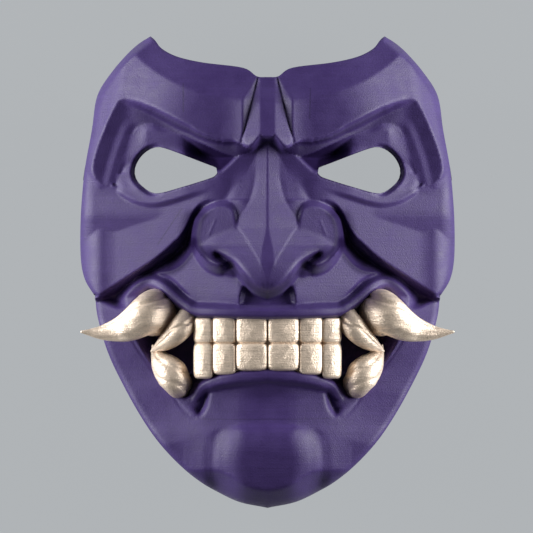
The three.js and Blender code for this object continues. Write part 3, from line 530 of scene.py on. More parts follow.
# The shell: front, side walls down to the rim, rim, inner wall and back

shellSettings = {
    "across": [(0, 0.5), (42, 0.72), (92, 0)],   # place and step of the grid lines, from the middle out
    "up": [(-114, 1), (-62, 0.56), (66, 0.76), (114, 0)],
    "backAcross": [(0, 2.2), (92, 0)],
    "backUp": [(-114, 2.2), (114, 0)],
    "wall": 3.4,
    "field": (94, 116),   # half sizes of the grid of 1 mm on which the inside is worked out
    "rounds": 8,   # how far the inside is smoothed
    "bevel": {"depth": 2.6, "width": 1.9, "across": (48, 58), "edge": 0.35, "edgeWidth": 0.6},
    "steep": (2, 4),   # slopes between which the front's walls begin to be eased
    "pull": 0.6,   # how far an eased point moves towards its neighbours each time
    "spread": 2,   # how many points beyond them move too
    "spreadShare": 0.75,
    "easings": 9,
    "rimFlat": (-45, 70),   # between these the rim lies on the table
    "chinRise": 40,
    "hornRise": 30,
    "rimPower": 1.6,
    # rows from the front's edge down the side and in along the rim: share of the way in, whether the height
    # counts from the front's edge and not from the rim, and how far above that
    "sideRows": [(0, True, -0.4), (0, False, 0.7), (0.15, False, 0.05), (0.85, False, 0.05), (1, False, 0.7)],
    "innerRows": (0.5, 0.96, 1),   # rows up the inner wall from 0.7 above the rim, as shares of the way
    "innerFoot": 0.7,
    "openRows": (0.12, 0.25, 0.4, 0.5, 0.6, 0.75, 0.88, 1),   # rows straight through the wall at the open top
    "holeRows": (0.1, 0.5, 0.9, 1),   # and in the eye holes
}


def gridLines(stretches):   # lines on both sides of the middle or from end to end, at about each stretch's step
    parts = [np.linspace(low, high, max(int(round((high - low) / step)), 1), endpoint=False)
             for (low, step), (high, _) in zip(stretches, stretches[1:])]
    found = np.concatenate(parts + [[stretches[-1][0]]])
    return found if found[0] < 0 else np.concatenate([-found[:0:-1], found])


def mirroredLine(line):   # the same line on the other half, run the other way
    return (line * [-1, 1])[::-1]


def rimHeight(y):   # 0 along the sides; to the chin and the horns it rises by a power of the share of the way
    s = shellSettings
    low, high = s["rimFlat"]
    chinPart = s["chinRise"] * np.clip((low - y) / (low + halfHeight), 0, None) ** s["rimPower"]
    hornPart = s["hornRise"] * np.clip((y - high) / (halfHeight - high), 0, None) ** s["rimPower"]
    return chinPart + hornPart


def outlineLoops():
    # the closed outline counter-clockwise from the top's middle, the line a wall's thickness inside it, point
    # for point, and where the top is open, so that the two lines are one
    wall = shellSettings["wall"]
    right = np.vstack([lines["topEdge"], skirt[1:]])[::-1]   # from the chin up the side to the top's middle
    outer = np.vstack([mirroredLine(right), right[1:-1]])
    ahead = np.roll(outer, -1, 0) - np.roll(outer, 1, 0)
    normal = np.stack([ahead[:, 1], -ahead[:, 0]], 1) / np.hypot(ahead[:, 0], ahead[:, 1])[:, None]
    inner = outer - wall * normal
    corner = len(lines["topEdge"]) - 1   # where the top edge meets the side
    n = len(outer)
    # the inside of the side wall meets the top edge at the point a wall's thickness from the side
    down = outer[corner + 1] - outer[corner]
    down = down / np.hypot(*down)
    inward = np.array([-down[1], down[0]])
    if inward @ outer[corner] > 0:
        inward = -inward
    misses = [abs((outer[k] - outer[corner]) @ inward - wall) for k in range(corner + 1)]
    meet = int(np.argmin(misses))
    inner[:meet + 1] = outer[:meet + 1]
    inner[n - meet:] = outer[n - meet:]
    inner[meet:corner + 1] = outer[meet]
    inner[n - corner:n - meet + 1] = outer[n - meet]
    openTop = np.zeros(n, bool)
    openTop[:meet + 1] = True
    openTop[n - meet:] = True
    return outer, inner, openTop


def backField(front):   # a ball of the wall's radius rolls under the front, then the inside is smoothed
    s = shellSettings
    radius = s["wall"]
    xs, ys = [np.arange(-half, half + 0.1, 1.0) for half in s["field"]]
    top = front(*np.meshgrid(xs, ys))
    reach = int(radius)
    padded = np.pad(top, reach, mode="edge")
    low = np.full(top.shape, np.inf)
    for j in range(-reach, reach + 1):
        for i in range(-reach, reach + 1):
            if i * i + j * j <= radius ** 2:
                piece = padded[reach + j:reach + j + len(ys), reach + i:reach + i + len(xs)]
                low = np.minimum(low, piece - np.sqrt(radius ** 2 - (i * i + j * j)))
    for _ in range(s["rounds"]):
        p = np.pad(low, 2, mode="edge")
        low = np.minimum(low, (p[:-4, 2:-2] + p[4:, 2:-2] + p[2:-2, :-4] + p[2:-2, 4:]) / 4)

    def height(x, y):   # straight between the field's points
        u = np.clip(x - xs[0], 0, len(xs) - 1.001)
        v = np.clip(y - ys[0], 0, len(ys) - 1.001)
        i, j = u.astype(int), v.astype(int)
        u, v = u - i, v - j
        near = low[j, i] * (1 - u) + low[j, i + 1] * u
        far = low[j + 1, i] * (1 - u) + low[j + 1, i + 1] * u
        return near * (1 - v) + far * v
    return height


def cutSheet(xs, ys, outer, holes):
    # quads of a grid whose middle is on the material; their border is moved onto the lines.
    # Gives places, quads and the border loops, each with its shares of the way along its line.
    nx = len(xs)
    x, y = np.meshgrid(xs, ys)
    cx, cy = (x[1:, 1:] + x[:-1, :-1]) / 2, (y[1:, 1:] + y[:-1, :-1]) / 2
    keep = within(cx, cy, outer)
    for hole in holes:
        keep &= ~within(cx, cy, hole)
    j, i = np.nonzero(keep)
    first = j * nx + i
    quads = np.stack([first, first + 1, first + nx + 1, first + nx], 1)
    used, inverse = np.unique(quads, return_inverse=True)
    quads = inverse.reshape(-1, 4)
    places = np.stack([x.ravel()[used], y.ravel()[used]], 1)
    start = quads.ravel()
    end = np.roll(quads, -1, 1).ravel()
    lonely = ~np.isin(end * len(places) + start, start * len(places) + end)
    follow = dict(zip(start[lonely].tolist(), end[lonely].tolist()))   # from each border point to the next
    loops = []
    while follow:
        at = next(iter(follow))
        loop = []
        while at in follow:
            loop.append(at)
            at = follow.pop(at)
        loops.append(np.array(loop))
    borders = []
    for line in [outer] + list(holes):
        closed = np.vstack([line, line[:1]])
        fits = [np.mean(nearest(places[k, 0], places[k, 1], closed)[1]) for k in loops]
        loop = loops[int(np.argmin(fits))]
        _, _, share = nearest(places[loop, 0], places[loop, 1], closed)
        loop, share = startAtZero(loop, share)
        places[loop, 0] = along(closed[:, 0], share)
        places[loop, 1] = along(closed[:, 1], share)
        borders.append((loop, share))
    return places, quads, borders


def startAtZero(loop, share):   # the loop begins where its line does and never runs back
    if np.median(np.diff(share)) < 0:   # a border that runs the other way is turned round
        loop, share = loop[::-1], share[::-1]
    first = int(np.argmin(share))
    loop, share = np.roll(loop, -first), np.roll(share, -first)
    return loop, np.maximum.accumulate(share)


def joinLoops(fine, fineShare, coarse, coarseShare, flip):
    # triangles between two closed loops: each edge of one takes the point of the other that is nearest along
    # the line
    between = (coarseShare[1:] + coarseShare[:-1]) / 2
    last = (coarseShare[-1] + coarseShare[0] + 1) / 2
    n, m = len(fine), len(coarse)
    spots = np.append(np.searchsorted(np.append(between, last), fineShare), m)
    spots[0] = 0
    k = np.arange(n)
    low = np.stack([fine[(k + 1) % n], fine[k], coarse[spots[:-1] % m]], 1)
    k = np.arange(m)
    apex = np.searchsorted(spots, k, side="right")
    high = np.stack([fine[apex % n], coarse[k], coarse[(k + 1) % m]], 1)
    faces = np.vstack([low, high])
    return faces[:, ::-1] if flip else faces


def makeMesh(name, places, groups):   # places in mm; each group is an array of quads or of triangles
    corners = np.concatenate([group.ravel() for group in groups])
    sides = np.concatenate([np.full(len(group), group.shape[1]) for group in groups])
    mesh = bpy.data.meshes.new(name)
    mesh.vertices.add(len(places))
    mesh.vertices.foreach_set("co", (places * mm).ravel())
    mesh.loops.add(len(corners))
    mesh.loops.foreach_set("vertex_index", corners.astype(np.int32))
    mesh.polygons.add(len(sides))
    mesh.polygons.foreach_set("loop_start", (np.cumsum(sides) - sides).astype(np.int32))
    mesh.update(calc_edges=True)
    mesh.validate()
    mesh.polygons.foreach_set("use_smooth", [True] * len(mesh.polygons))
    piece = bpy.data.objects.new(name, mesh)
    bpy.context.scene.collection.objects.link(piece)
    return piece


def frontHeight(x, y):   # the relief, less a bevel towards the eye holes' outer ends and a break of their edge
    s = shellSettings["bevel"]
    a = np.abs(x)
    _, away, _ = nearest(a, y, np.vstack([lines["eyeHole"], lines["eyeHole"][:1]]))
    bevel = s["depth"] * table(away, [(0, 1), (s["width"], 0)]) * ease(*s["across"], a)
    return relief(x, y) - bevel - s["edge"] * ease(s["edgeWidth"], 0, away)


def easeWalls(places, quads, fixed):
    # on steep walls each point moves towards the mean of its neighbours, so no steps of the grid are left
    s = shellSettings
    edges = np.vstack([quads[:, [k, (k + 1) % 4]] for k in range(4)])
    start, end = np.vstack([edges, edges[:, ::-1]]).T
    step = places[end] - places[start]
    slope = np.zeros(len(places))
    np.maximum.at(slope, start, np.abs(step[:, 2]) / np.maximum(np.hypot(step[:, 0], step[:, 1]), 0.1))
    weight = s["pull"] * ease(*s["steep"], slope)
    for _ in range(s["spread"]):
        near = np.zeros(len(places))
        np.maximum.at(near, start, weight[end])
        weight = np.maximum(weight, s["spreadShare"] * near)
    weight[fixed] = 0
    count = np.bincount(start, minlength=len(places))
    for _ in range(s["easings"]):
        mean = np.stack([np.bincount(start, places[end, k], len(places)) / count for k in range(3)], 1)
        places = places + (mean - places) * weight[:, None]
    return places


# Painted shade: how far the colour is darkened in the hollows and under the brow and the nose, where shade
# falls, and the pairs of places or distances at which that begins and is complete
paintedShades = {
    "band": {"depth": 0.3, "middle": ((5, 11), (66, 58)), "inner": ((5, 9), (32, 20))},
    "orbit": {"depth": 0.75, "over": (0, 1.6), "across": ((42, 28), (8, 12))},
    "nostril": {"depth": 0.62, "shift": 2, "half": (7.2, 4.4)},
    "wing": {"depth": 0.55, "beside": (-9, -3), "low": (9, 13), "on": (4.4, 2), "across": (25, 30),
             "up": (31, 26)},
    "tip": {"depth": 0.45, "above": (-2.4, 0), "below": (3, 1), "across": (14, 9), "up": (2, -2)},
    "gap": {"depth": 0.55, "away": (3.4, 0), "along": (0.15, 0.4), "across": (30, 34)},
}


def paintedShadeField(x, y):   # painted shade as a factor on the colour: 1, less the depth of each hollow times the eases that bound it
    a = np.abs(x)
    banded = within(a, y, inBand)
    s = paintedShades["band"]
    middle, inner = [s["depth"] * ease(*s[part][0], a) * ease(*s[part][1], a) for part in ("middle", "inner")]
    paintedShadeFactor = 1 - banded * (middle + inner)
    s = paintedShades["orbit"]
    over, _, _ = nearest(a, y, lines["eyeCorner"])
    bounded = s["depth"] * (within(a, y, orbit) & ~banded) * ease(*s["over"], over)
    paintedShadeFactor = paintedShadeFactor - bounded * ease(*s["across"][0], a) * ease(*s["across"][1], a)
    s = paintedShades["nostril"]
    long, short = nostrilAxes(a - s["shift"], y)
    paintedShadeFactor = paintedShadeFactor * (1 - s["depth"] * np.exp(-(long / s["half"][0]) ** 2 - (short / s["half"][1]) ** 2))
    s = paintedShades["wing"]
    inside, _ = wingInside(a, y)
    beside = ease(*s["beside"], inside) * (inside <= 0) * ease(*s["low"], y)
    beside = (beside + ease(*s["on"], inside) * (inside > 0)) * ease(*s["across"], a) * ease(*s["up"], y)
    paintedShadeFactor = paintedShadeFactor * (1 - s["depth"] * beside)
    s = paintedShades["tip"]
    foot, _, _ = nearest(a, y, lines["noseFoot"])
    under = ease(*s["above"], foot) * ease(*s["below"], foot) * ease(*s["across"], a) * ease(*s["up"], y)
    paintedShadeFactor = paintedShadeFactor * (1 - s["depth"] * under)
    s = paintedShades["gap"]
    _, away, share = nearest(a, y, lines["gapEdge"])
    return paintedShadeFactor * (1 - s["depth"] * ease(*s["away"], away) * ease(*s["along"], share) * ease(*s["across"], a))


def straightRows(top, inZ, shares):   # points straight below the edge, at shares of the way to the inside
    return [np.column_stack([top[:, :2], top[:, 2] + (inZ - top[:, 2]) * share]) for share in shares]


def sideRows(top, share, inner, openTop, back):
    # from the edge down the side, in along the rim and up to the inside; straight through where the top is open
    s = shellSettings
    inner = np.vstack([inner, inner[:1]])
    openTop = np.append(openTop, openTop[:1]).astype(float)
    inXY = np.column_stack([along(inner[:, k], share) for k in (0, 1)])
    isOpen = along(openTop, share)[:, None] > 0.5
    inZ = back(inXY[:, 0], inXY[:, 1])
    rim = rimHeight(top[:, 1])
    rows = []
    for toward, fromTop, rise in s["sideRows"]:
        level = (top[:, 2] if fromTop else rim) + rise
        rows.append(np.column_stack([top[:, :2] + (inXY - top[:, :2]) * toward, level]))
    foot = s["innerFoot"]
    rows += [np.column_stack([inXY, rim + foot + (inZ - rim - foot) * up]) for up in s["innerRows"]]
    straight = straightRows(top, inZ, s["openRows"])
    return [np.where(isOpen, through, row) for through, row in zip(straight, rows)]


def makeShell():   # the front, the inside, and rows of points between their borders
    s = shellSettings
    outer, inner, openTop = outlineLoops()
    holes = [lines["eyeHole"], mirroredLine(lines["eyeHole"])]
    places, quads, borders = cutSheet(gridLines(s["across"]), gridLines(s["up"]), outer, holes)
    front = np.column_stack([places, frontHeight(places[:, 0], places[:, 1])])
    front = easeWalls(front, quads, np.concatenate([loop for loop, _ in borders]))
    back = backField(relief)
    xs, ys = gridLines(s["backAcross"]), gridLines(s["backUp"])
    backPlaces, backQuads, backBorders = cutSheet(xs, ys, inner, holes)
    points = [front, np.column_stack([backPlaces, back(backPlaces[:, 0], backPlaces[:, 1])])]
    faces = [quads, backQuads[:, ::-1] + len(front)]
    total = len(front) + len(backPlaces)
    for which, ((loop, share), (backLoop, backShare)) in enumerate(zip(borders, backBorders)):
        isHole = which > 0
        top = front[loop]
        if isHole:
            rows = straightRows(top, back(top[:, 0], top[:, 1]), s["holeRows"])
        else:
            rows = sideRows(top, share, inner, openTop, back)
        above = loop
        for row in rows:
            below = total + np.arange(len(loop))
            wallQuads = np.stack([np.roll(above, -1), above, below, np.roll(below, -1)], 1)
            faces.append(wallQuads[:, ::-1] if isHole else wallQuads)
            points.append(row)
            total += len(loop)
            above = below
        faces.append(joinLoops(above, share, backLoop + len(front), backShare, isHole))
    piece = makeMesh("shell", np.vstack(points), faces)
    # painted shade, a factor on the colour: the front's points get the hollows' painted shade, the sides and
    # back none
    paintedShadeFactor = np.ones(total)
    paintedShadeFactor[:len(front)] = paintedShadeField(places[:, 0], places[:, 1])
    piece.data.attributes.new("paintedShadeFactor", "FLOAT", "POINT").data.foreach_set("value", paintedShadeFactor)
    return piece


shell = makeShell()
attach(shell, "root")
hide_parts("mask_shell")
print("shell", len(shell.data.polygons), "faces")


# Horns: a round section carried along a curve, thinning to a blunt point

rings, around = 120, 56   # points along a horn and round it
towardTip = 0.9   # a power that sets the rings a little closer at the tip

hornSettings = {
    "tusk": {
        "path": [(52.5, -19.2, 46), (52.8, -19.3, 61), (56.9, -20.9, 70), (64, -25.2, 69.4), (70, -27.4, 67.2),
                 (78, -28.7, 66.9), (87.2, -28.3, 68.3)],
        "radii": [(0, 10), (0.2, 11), (0.36, 10.6), (0.5, 8.4), (0.62, 6.9), (0.78, 4.3), (0.92, 1.8),
                  (1, 0.5)],
        "flat": 0.9,
        # grooves along it: angle round the horn in degrees at the base and at the tip, width, depth
        "grooves": [(44, 36, 7, 0.13), (100, 92, 12, 0.03), (140, 128, 9, 0.05)],
    },
    "upper_fang": {
        "path": [(35.5, -17.5, 48), (37, -21.5, 64), (40.3, -26.2, 70.4), (46, -32, 68.2), (54.6, -37.6, 62.5)],
        "radii": [(0, 5), (0.4, 5.6), (0.62, 5.4), (0.82, 3.6), (0.94, 1.5), (1, 0.4)],
        "flat": 0.92,
        "grooves": [(78, 70, 9, 0.14)],
    },
    "lower_fang": {
        "path": [(41.5, -52.5, 50), (41.8, -52, 62), (44.6, -48.2, 66.3), (49.8, -42.4, 62.8),
                 (54, -34.6, 57.5)],
        "radii": [(0, 7), (0.4, 7.6), (0.6, 7.2), (0.8, 4.4), (0.93, 1.9), (1, 0.5)],
        "flat": 0.85,
        "grooves": [(60, 60, 10, 0.08), (125, 125, 10, 0.08)],
    },
}


def tubeQuads(rings, around):   # the faces between points that are listed ring by ring
    i, j = np.meshgrid(np.arange(rings - 1), np.arange(around), indexing="ij")
    k = (j + 1) % around
    corners = (i * around + j, i * around + k, (i + 1) * around + k, (i + 1) * around + j)
    return np.stack(corners, -1).reshape(-1, 4)


def makeHorn(name, side, s):
    # centre(t) + radius(t) * (cos(angle) * out + flat * sin(angle) * over), t along the curve, less the grooves
    path = curve(s["path"], 60)
    length = np.concatenate([[0], np.cumsum(np.linalg.norm(np.diff(path, axis=0), axis=1))])
    t = np.append(np.linspace(0, 1, rings) ** towardTip, 1)
    centre = np.stack([np.interp(t * length[-1], length, path[:, k]) for k in range(3)], 1)
    tangent = np.gradient(centre, axis=0)
    tangent[-1] = tangent[-2]
    tangent /= np.linalg.norm(tangent, axis=1)[:, None]
    over = np.cross(tangent, [0, 1, 0])
    over /= np.linalg.norm(over, axis=1)[:, None]
    out = np.cross(over, tangent)
    radius = smoothTable(t, s["radii"])
    angle = np.linspace(0, 2 * np.pi, around, endpoint=False)[None, :, None]
    ring = np.cos(angle) * out[:, None] + s["flat"] * np.sin(angle) * over[:, None]
    for atBase, atTip, wide, deep in s["grooves"]:
        place = np.radians(atBase + (atTip - atBase) * t)[:, None, None]
        ring = ring * (1 - deep * bump(angle - place, np.radians(wide)))
    places = centre[:, None] + radius[:, None, None] * ring
    places = np.vstack([places[:-1].reshape(-1, 3), centre[:1], centre[-1:]]) * [side, 1, 1]
    quads = tubeQuads(rings, around)
    first = np.arange(around)
    second = (first + 1) % around
    last = (rings - 1) * around
    base = np.stack([second, first, np.full(around, rings * around)], 1)
    tip = np.stack([last + first, last + second, np.full(around, rings * around + 1)], 1)
    groups = [quads, base, tip]
    # a face half way along tells whether they all have to be turned to look outwards
    half = len(quads) // 2
    corner = places[quads[half]]
    outward = np.cross(corner[1] - corner[0], corner[2] - corner[0])
    if outward @ (corner.mean(0) - centre[half // around] * [side, 1, 1]) < 0:
        groups = [group[:, ::-1] for group in groups]
    return makeMesh(name, places, groups)


champagnePieces = []
for kind, settings in hornSettings.items():
    for side, word in ((1, "right"), (-1, "left")):
        horn = makeHorn(f"{kind}_{word}_fine", side, settings)
        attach(horn, "root")
        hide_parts(f"{kind}_{word}")
        champagnePieces.append(horn)
print("tusks and fangs")


# Teeth: two rows of six pillows on one backing

teethSettings = {
    "edges": [0, 14.8, 25.6, 34.2],
    "tops": [-21, -21, -21.5],
    "seam": -33.4,
    "bottoms": [-46.3, -48.2, -50.2],
    "overlap": (0.4, 0.35),   # how far neighbours sink into each other, across and up
    "depth": 10,
    "arch": (78.6, 0.0055),   # height in the middle and fall by the square of the distance from it
    "powers": (0.2, 0.36, 0.5),   # of the box's edges round the front, at its corners and over its face
    "crown": 0.17,   # how far a tooth's middle stands out, as a share of its half width
    "widest": 8,   # half widths beyond this stand out no further
    "crownUp": 0.4,   # and upwards, in mm
    "backing": (34.2, -48.5, -22, 2.2),   # half width, bottom, top, mm behind the teeth's faces
    "steps": 36,   # points over half a turn
}


def signedPower(v, p):   # a power of the size, with the sign kept
    return np.sign(v) * np.abs(v) ** p


def toothPlaces(x0, x1, y0, y1, behind=0):
    # a superellipsoid: soft powers of the sine and cosine of two angles fill out a box with round edges;
    # its front then swells by a parabola across and up and follows the arch
    s = teethSettings
    level, bow = s["arch"]
    endPower, cornerPower, facePower = s["powers"]
    lat = np.linspace(-np.pi / 2, np.pi / 2, s["steps"])
    lon = np.linspace(-np.pi, np.pi, 2 * s["steps"], endpoint=False)
    lat, lon = np.meshgrid(lat, lon, indexing="ij")
    ring = signedPower(np.cos(lat), endPower)
    u = signedPower(np.cos(lon), cornerPower) * ring
    v = signedPower(np.sin(lon), cornerPower) * ring
    w = signedPower(np.sin(lat), facePower)
    half = (x1 - x0) / 2
    x = (x0 + x1) / 2 + u * half
    y = (y0 + y1) / 2 + v * (y1 - y0) / 2
    swell = s["crown"] * min(half, s["widest"]) * (1 - u * u) + s["crownUp"] * (1 - v * v)
    z = level - bow * x * x + (w - 1) * s["depth"] / 2 + swell * (w > 0) * (behind == 0) - behind
    return np.stack([x, y, z], -1).reshape(-1, 3), tubeQuads(*lat.shape)


def makeTeeth():   # six teeth over the seam, six under it and the backing
    s = teethSettings
    beside, over = s["overlap"]
    boxes = []
    for x0, x1, top, bottom in zip(s["edges"], s["edges"][1:], s["tops"], s["bottoms"]):
        for side in (1, -1):
            ends = sorted((side * (x0 - beside), side * (x1 + beside)))
            boxes.append((*ends, s["seam"] - over, top))
            boxes.append((*ends, bottom, s["seam"] + over))
    half, low, high, behind = s["backing"]
    boxes.append((-half, half, low, high, behind))
    places, faces, total = [], [], 0
    for box in boxes:
        place, quads = toothPlaces(*box)
        places.append(place)
        faces.append(quads + total)
        total += len(place)
    return makeMesh("tooth_row_fine", np.vstack(places), faces)


teeth = makeTeeth()
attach(teeth, "root")
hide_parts("tooth_row")
champagnePieces.append(teeth)
print("teeth")


# Materials

def newMaterial(name):   # with its nodes, its links and its shader
    material = bpy.data.materials.new(name)
    material.use_nodes = True
    tree = material.node_tree
    return material, tree.nodes, tree.links, tree.nodes["Principled BSDF"]


def noiseNode(nodes, links, coords, stretch, detail):   # soft noise, so many cells a metre along each axis
    mapping = nodes.new("ShaderNodeMapping")
    mapping.inputs["Scale"].default_value = stretch
    noise = nodes.new("ShaderNodeTexNoise")
    noise.inputs["Scale"].default_value = 1
    noise.inputs["Detail"].default_value = detail
    links.new(coords.outputs["Object"], mapping.inputs["Vector"])
    links.new(mapping.outputs["Vector"], noise.inputs["Vector"])
    return noise.outputs["Fac"]


def mathNode(nodes, links, kind, first, second):   # two sockets or numbers joined by one operation
    node = nodes.new("ShaderNodeMath")
    node.operation = kind
    for socket, value in zip(node.inputs, (first, second)):
        if isinstance(value, (int, float)):
            socket.default_value = value
        else:
            links.new(value, socket)
    return node.outputs[0]


def vectorNode(nodes, links, kind, first, second, socket="Vector"):   # the same for vectors
    node = nodes.new("ShaderNodeVectorMath")
    node.operation = kind
    spare = node.inputs["Scale"] if kind == "SCALE" else node.inputs[1]
    for taken, value in ((node.inputs[0], first), (spare, second)):
        if isinstance(value, bpy.types.NodeSocket):
            links.new(value, taken)
        else:
            taken.default_value = value
    return node.outputs[socket]


def rangeNode(nodes, links, value, low, high, toLow, toHigh):   # straight from one range to the other, clamped
    node = nodes.new("ShaderNodeMapRange")
    for name, number in (("From Min", low), ("From Max", high), ("To Min", toLow), ("To Max", toHigh)):
        node.inputs[name].default_value = number
    links.new(value, node.inputs["Value"])
    return node.outputs["Result"]


def weighted(nodes, links, value, share):   # a value times a share
    return mathNode(nodes, links, "MULTIPLY", value, share)


def printNoise(nodes, links, coords, s):   # fine grain plus shares of the layer lines and of the clouds
    kinds = ("clouds", "layers", "grain")
    clouds, layers, grain = [noiseNode(nodes, links, coords, *s[kind]) for kind in kinds]
    mixed = mathNode(nodes, links, "ADD", weighted(nodes, links, layers, s["layerShare"]), grain)
    return clouds, mathNode(nodes, links, "ADD", mixed, weighted(nodes, links, clouds, s["cloudShare"]))


def finishPrint(nodes, links, shader, s, factor, clouds, mixed):
    # the base colour times a factor, roughness by the clouds and a bump as deep as stated
    links.new(vectorNode(nodes, links, "SCALE", s["colour"], factor), shader.inputs["Base Color"])
    middle, spread = s["rough"]
    rough = rangeNode(nodes, links, clouds, *cloudRange, middle - spread, middle + spread)
    links.new(rough, shader.inputs["Roughness"])
    node = nodes.new("ShaderNodeBump")
    node.inputs["Strength"].default_value = 1
    node.inputs["Distance"].default_value = s["bump"]
    links.new(mixed, node.inputs["Height"])
    links.new(node.outputs["Normal"], shader.inputs["Normal"])


def seamLine(nodes, links, coords, first, second, width):
    # 1 on a hairline between two places in the plane, 0 beyond its width: the distance to the nearest point
    p, q = np.array([*first, 0]) * mm, np.array([*second, 0]) * mm
    flat = vectorNode(nodes, links, "MULTIPLY", coords.outputs["Object"], (1, 1, 0))
    offset = vectorNode(nodes, links, "SUBTRACT", flat, p)
    dot = vectorNode(nodes, links, "DOT_PRODUCT", offset, (q - p) / ((q - p) @ (q - p)), "Value")
    foot = vectorNode(nodes, links, "SCALE", q - p, rangeNode(nodes, links, dot, 0, 1, 0, 1))
    away = vectorNode(nodes, links, "DISTANCE", offset, foot, "Value")
    return rangeNode(nodes, links, away, width * mm, 0, 0, 1)


cloudRange = (0.3, 0.7)   # between these lies nearly all of a noise's output

# Each noise is its cells a metre along each axis and its detail; a range leads from the mixed noise to a factor
# on the colour
purpleSettings = {
    "colour": (0.047, 0.026, 0.126),
    "clouds": ((160, 160, 160), 4),
    "layers": ((45, 1500, 60), 2),
    "grain": ((1700, 1700, 1700), 2),
    "layerShare": 0.5,
    "cloudShare": 0.6,
    "range": (0.6, 1.5, 0.74, 1.26),
    "rough": (0.5, 0.06),   # middle and spread
    "bump": 0.00012,   # in metres
    "specular": 0.35,
    "sheen": 0.12,
    "sheenRough": 0.3,
    "shineFrom": 0.3,   # up to this factor of painted shade the specular and the sheen are 0
    "seamShade": 0.62,
    "seams": [((-39.3, 87.5), (-39.2, 74.4), 0.55), ((20, 85.2), (19.6, 71), 0.5),   # two ends and width
              ((-39.9, 29.3), (-51.3, 12.7), 0.5), ((-30, -69), (30, -68.8), 0.35),
              ((36.5, 24), (45, 15), 0.35)],
}

champagneSettings = {
    "colour": (0.84, 0.69, 0.55),
    "clouds": ((330, 330, 330), 5),
    "layers": ((110, 1300, 110), 3),
    "grain": ((1500, 1500, 1500), 2),
    "layerShare": 1.2,
    "cloudShare": 0.5,
    "range": (0.95, 1.75, 0.8, 1.2),
    "rough": (0.42, 0.1),
    "bump": 0.0002,
    "metal": 0.45,
}

darkSettings = {
    "colour": (0.02, 0.018, 0.024),
    "clouds": ((500, 500, 500), 4),
    "range": (0.6, 1.5),   # of the factor on the colour, over the clouds
    "rough": (0.35, 0.6),   # lowest and highest
    "metal": 0.7,
}


def makePurple():
    # print in a matt plastic: cloudy mottling, layer lines across, fine grain and a few hairline seams,
    # darkened by the painted shade of the hollows; the specular and the sheen fade with that painted shade
    s = purpleSettings
    material, nodes, links, shader = newMaterial("purple_print")
    shader.inputs["Sheen Roughness"].default_value = s["sheenRough"]
    coords = nodes.new("ShaderNodeTexCoord")
    clouds, mixed = printNoise(nodes, links, coords, s)
    # painted shade of the hollows, stored on the shell's points, darkens the colour and dims the shine
    paintedShadeFactor = nodes.new("ShaderNodeAttribute")
    paintedShadeFactor.attribute_name = "paintedShadeFactor"
    paintedShadeFactor = paintedShadeFactor.outputs["Fac"]
    factor = weighted(nodes, links, rangeNode(nodes, links, mixed, *s["range"]), paintedShadeFactor)
    for socket, most in (("Specular IOR Level", s["specular"]), ("Sheen Weight", s["sheen"])):
        links.new(rangeNode(nodes, links, paintedShadeFactor, s["shineFrom"], 1, 0, most), shader.inputs[socket])
    for first, second, width in s["seams"]:
        line = seamLine(nodes, links, coords, first, second, width)
        factor = weighted(nodes, links, factor, rangeNode(nodes, links, line, 0, 1, 1, s["seamShade"]))
    finishPrint(nodes, links, shader, s, factor, clouds, mixed)
    return material


def makeChampagne():   # satin metal paint over a print: blotches, layer lines across and fine grain
    s = champagneSettings
    material, nodes, links, shader = newMaterial("champagne_metal")
    shader.inputs["Metallic"].default_value = s["metal"]
    clouds, mixed = printNoise(nodes, links, nodes.new("ShaderNodeTexCoord"), s)
    finishPrint(nodes, links, shader, s, rangeNode(nodes, links, mixed, *s["range"]), clouds, mixed)
    return material


def makeDark():   # near-black metal with cloudy colour and roughness
    s = darkSettings
    material, nodes, links, shader = newMaterial("dark_rivet_metal")
    shader.inputs["Metallic"].default_value = s["metal"]
    clouds = noiseNode(nodes, links, nodes.new("ShaderNodeTexCoord"), *s["clouds"])
    factor = rangeNode(nodes, links, clouds, *cloudRange, *s["range"])
    links.new(vectorNode(nodes, links, "SCALE", s["colour"], factor), shader.inputs["Base Color"])
    links.new(rangeNode(nodes, links, clouds, *cloudRange, *s["rough"]), shader.inputs["Roughness"])
    return material


purple = makePurple()
dark = makeDark()
for word in ("left", "right"):
    bpy.data.objects[f"strap_rivet_{word}"].material_slots[0].material = dark
champagne = makeChampagne()
shell.data.materials.append(purple)
for piece in champagnePieces:
    piece.data.materials.append(champagne)
print("materials")


# Studio: a floor that glows evenly pale, a low soft light at each side, a weak even glow all round and a
# camera straight above the face

studio = {
    "floorHalf": 3,
    "floorColour": (0.004, 0.004, 0.004, 1),
    "floorGlow": (0.414, 0.435, 0.452, 1),
    "floorRough": 0.9,
    "sideSize": (0.75, 0.4),
    "sidePlace": (0.75, 0.15, 0.23),
    "sideTarget": (0, 0, 0.05),
    "sidePower": 13.0,
    "skyGlow": (0.06, 0.06, 0.06, 1),
    "cameraHeight": 2.2,
    "sensor": 36,
    "picturePixels": 533,
    "mmPerPixel": 0.47,
    "middlePixel": (267.5, 271.25),
    "faceLevel": 55,   # mm above the floor at which that scale holds
}


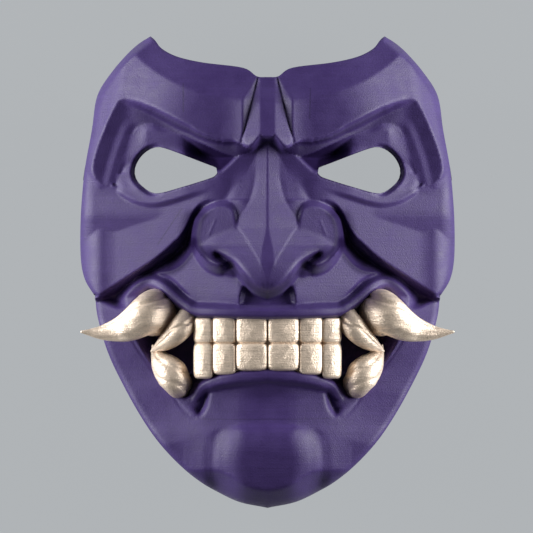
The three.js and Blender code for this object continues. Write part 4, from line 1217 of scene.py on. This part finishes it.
def makeFloor():   # a square whose own glow sets its brightness
    s = studio
    half = s["floorHalf"]
    mesh = bpy.data.meshes.new("floor")
    corners = [(-half, -half, 0), (half, -half, 0), (half, half, 0), (-half, half, 0)]
    mesh.from_pydata(corners, [], [(0, 1, 2, 3)])
    floor = bpy.data.objects.new("floor", mesh)
    bpy.context.scene.collection.objects.link(floor)
    material, _, _, shader = newMaterial("floor")
    shader.inputs["Base Color"].default_value = s["floorColour"]
    shader.inputs["Roughness"].default_value = s["floorRough"]
    shader.inputs["Emission Color"].default_value = s["floorGlow"]
    shader.inputs["Emission Strength"].default_value = 1
    mesh.materials.append(material)


def makeLight(name, place, target, size, power):   # a rectangle that looks from its place to the target
    data = bpy.data.lights.new(name, "AREA")
    data.shape = "RECTANGLE"
    data.size, data.size_y = size
    data.energy = power
    light = bpy.data.objects.new(name, data)
    light.location = place
    light.rotation_euler = (Vector(target) - Vector(place)).to_track_quat("-Z", "Y").to_euler()
    bpy.context.scene.collection.objects.link(light)


def makeCamera():   # the lens is as long as gives the photo's scale at the face's level, with its middle pixel
    s = studio
    data = bpy.data.cameras.new("camera")
    camera = bpy.data.objects.new("camera", data)
    scale = s["mmPerPixel"] * mm
    away = s["cameraHeight"] - s["faceLevel"] * mm
    data.sensor_width = s["sensor"]
    data.lens = s["sensor"] * away / (s["picturePixels"] * scale)
    middle = s["picturePixels"] / 2
    x, y = s["middlePixel"]
    camera.location = ((middle - x) * scale, (y - middle) * scale, s["cameraHeight"])
    bpy.context.scene.collection.objects.link(camera)
    bpy.context.scene.camera = camera


makeFloor()
for side in (1, -1):
    x, y, z = studio["sidePlace"]
    makeLight(f"side{side}", (side * x, y, z), studio["sideTarget"], studio["sideSize"], studio["sidePower"])
makeCamera()

world = bpy.data.worlds.new("studio")
world.use_nodes = True
world.node_tree.nodes["Background"].inputs["Color"].default_value = studio["skyGlow"]
world.node_tree.nodes["Background"].inputs["Strength"].default_value = 1
bpy.context.scene.world = world
bpy.context.scene.view_settings.view_transform = "Standard"
print("studio")
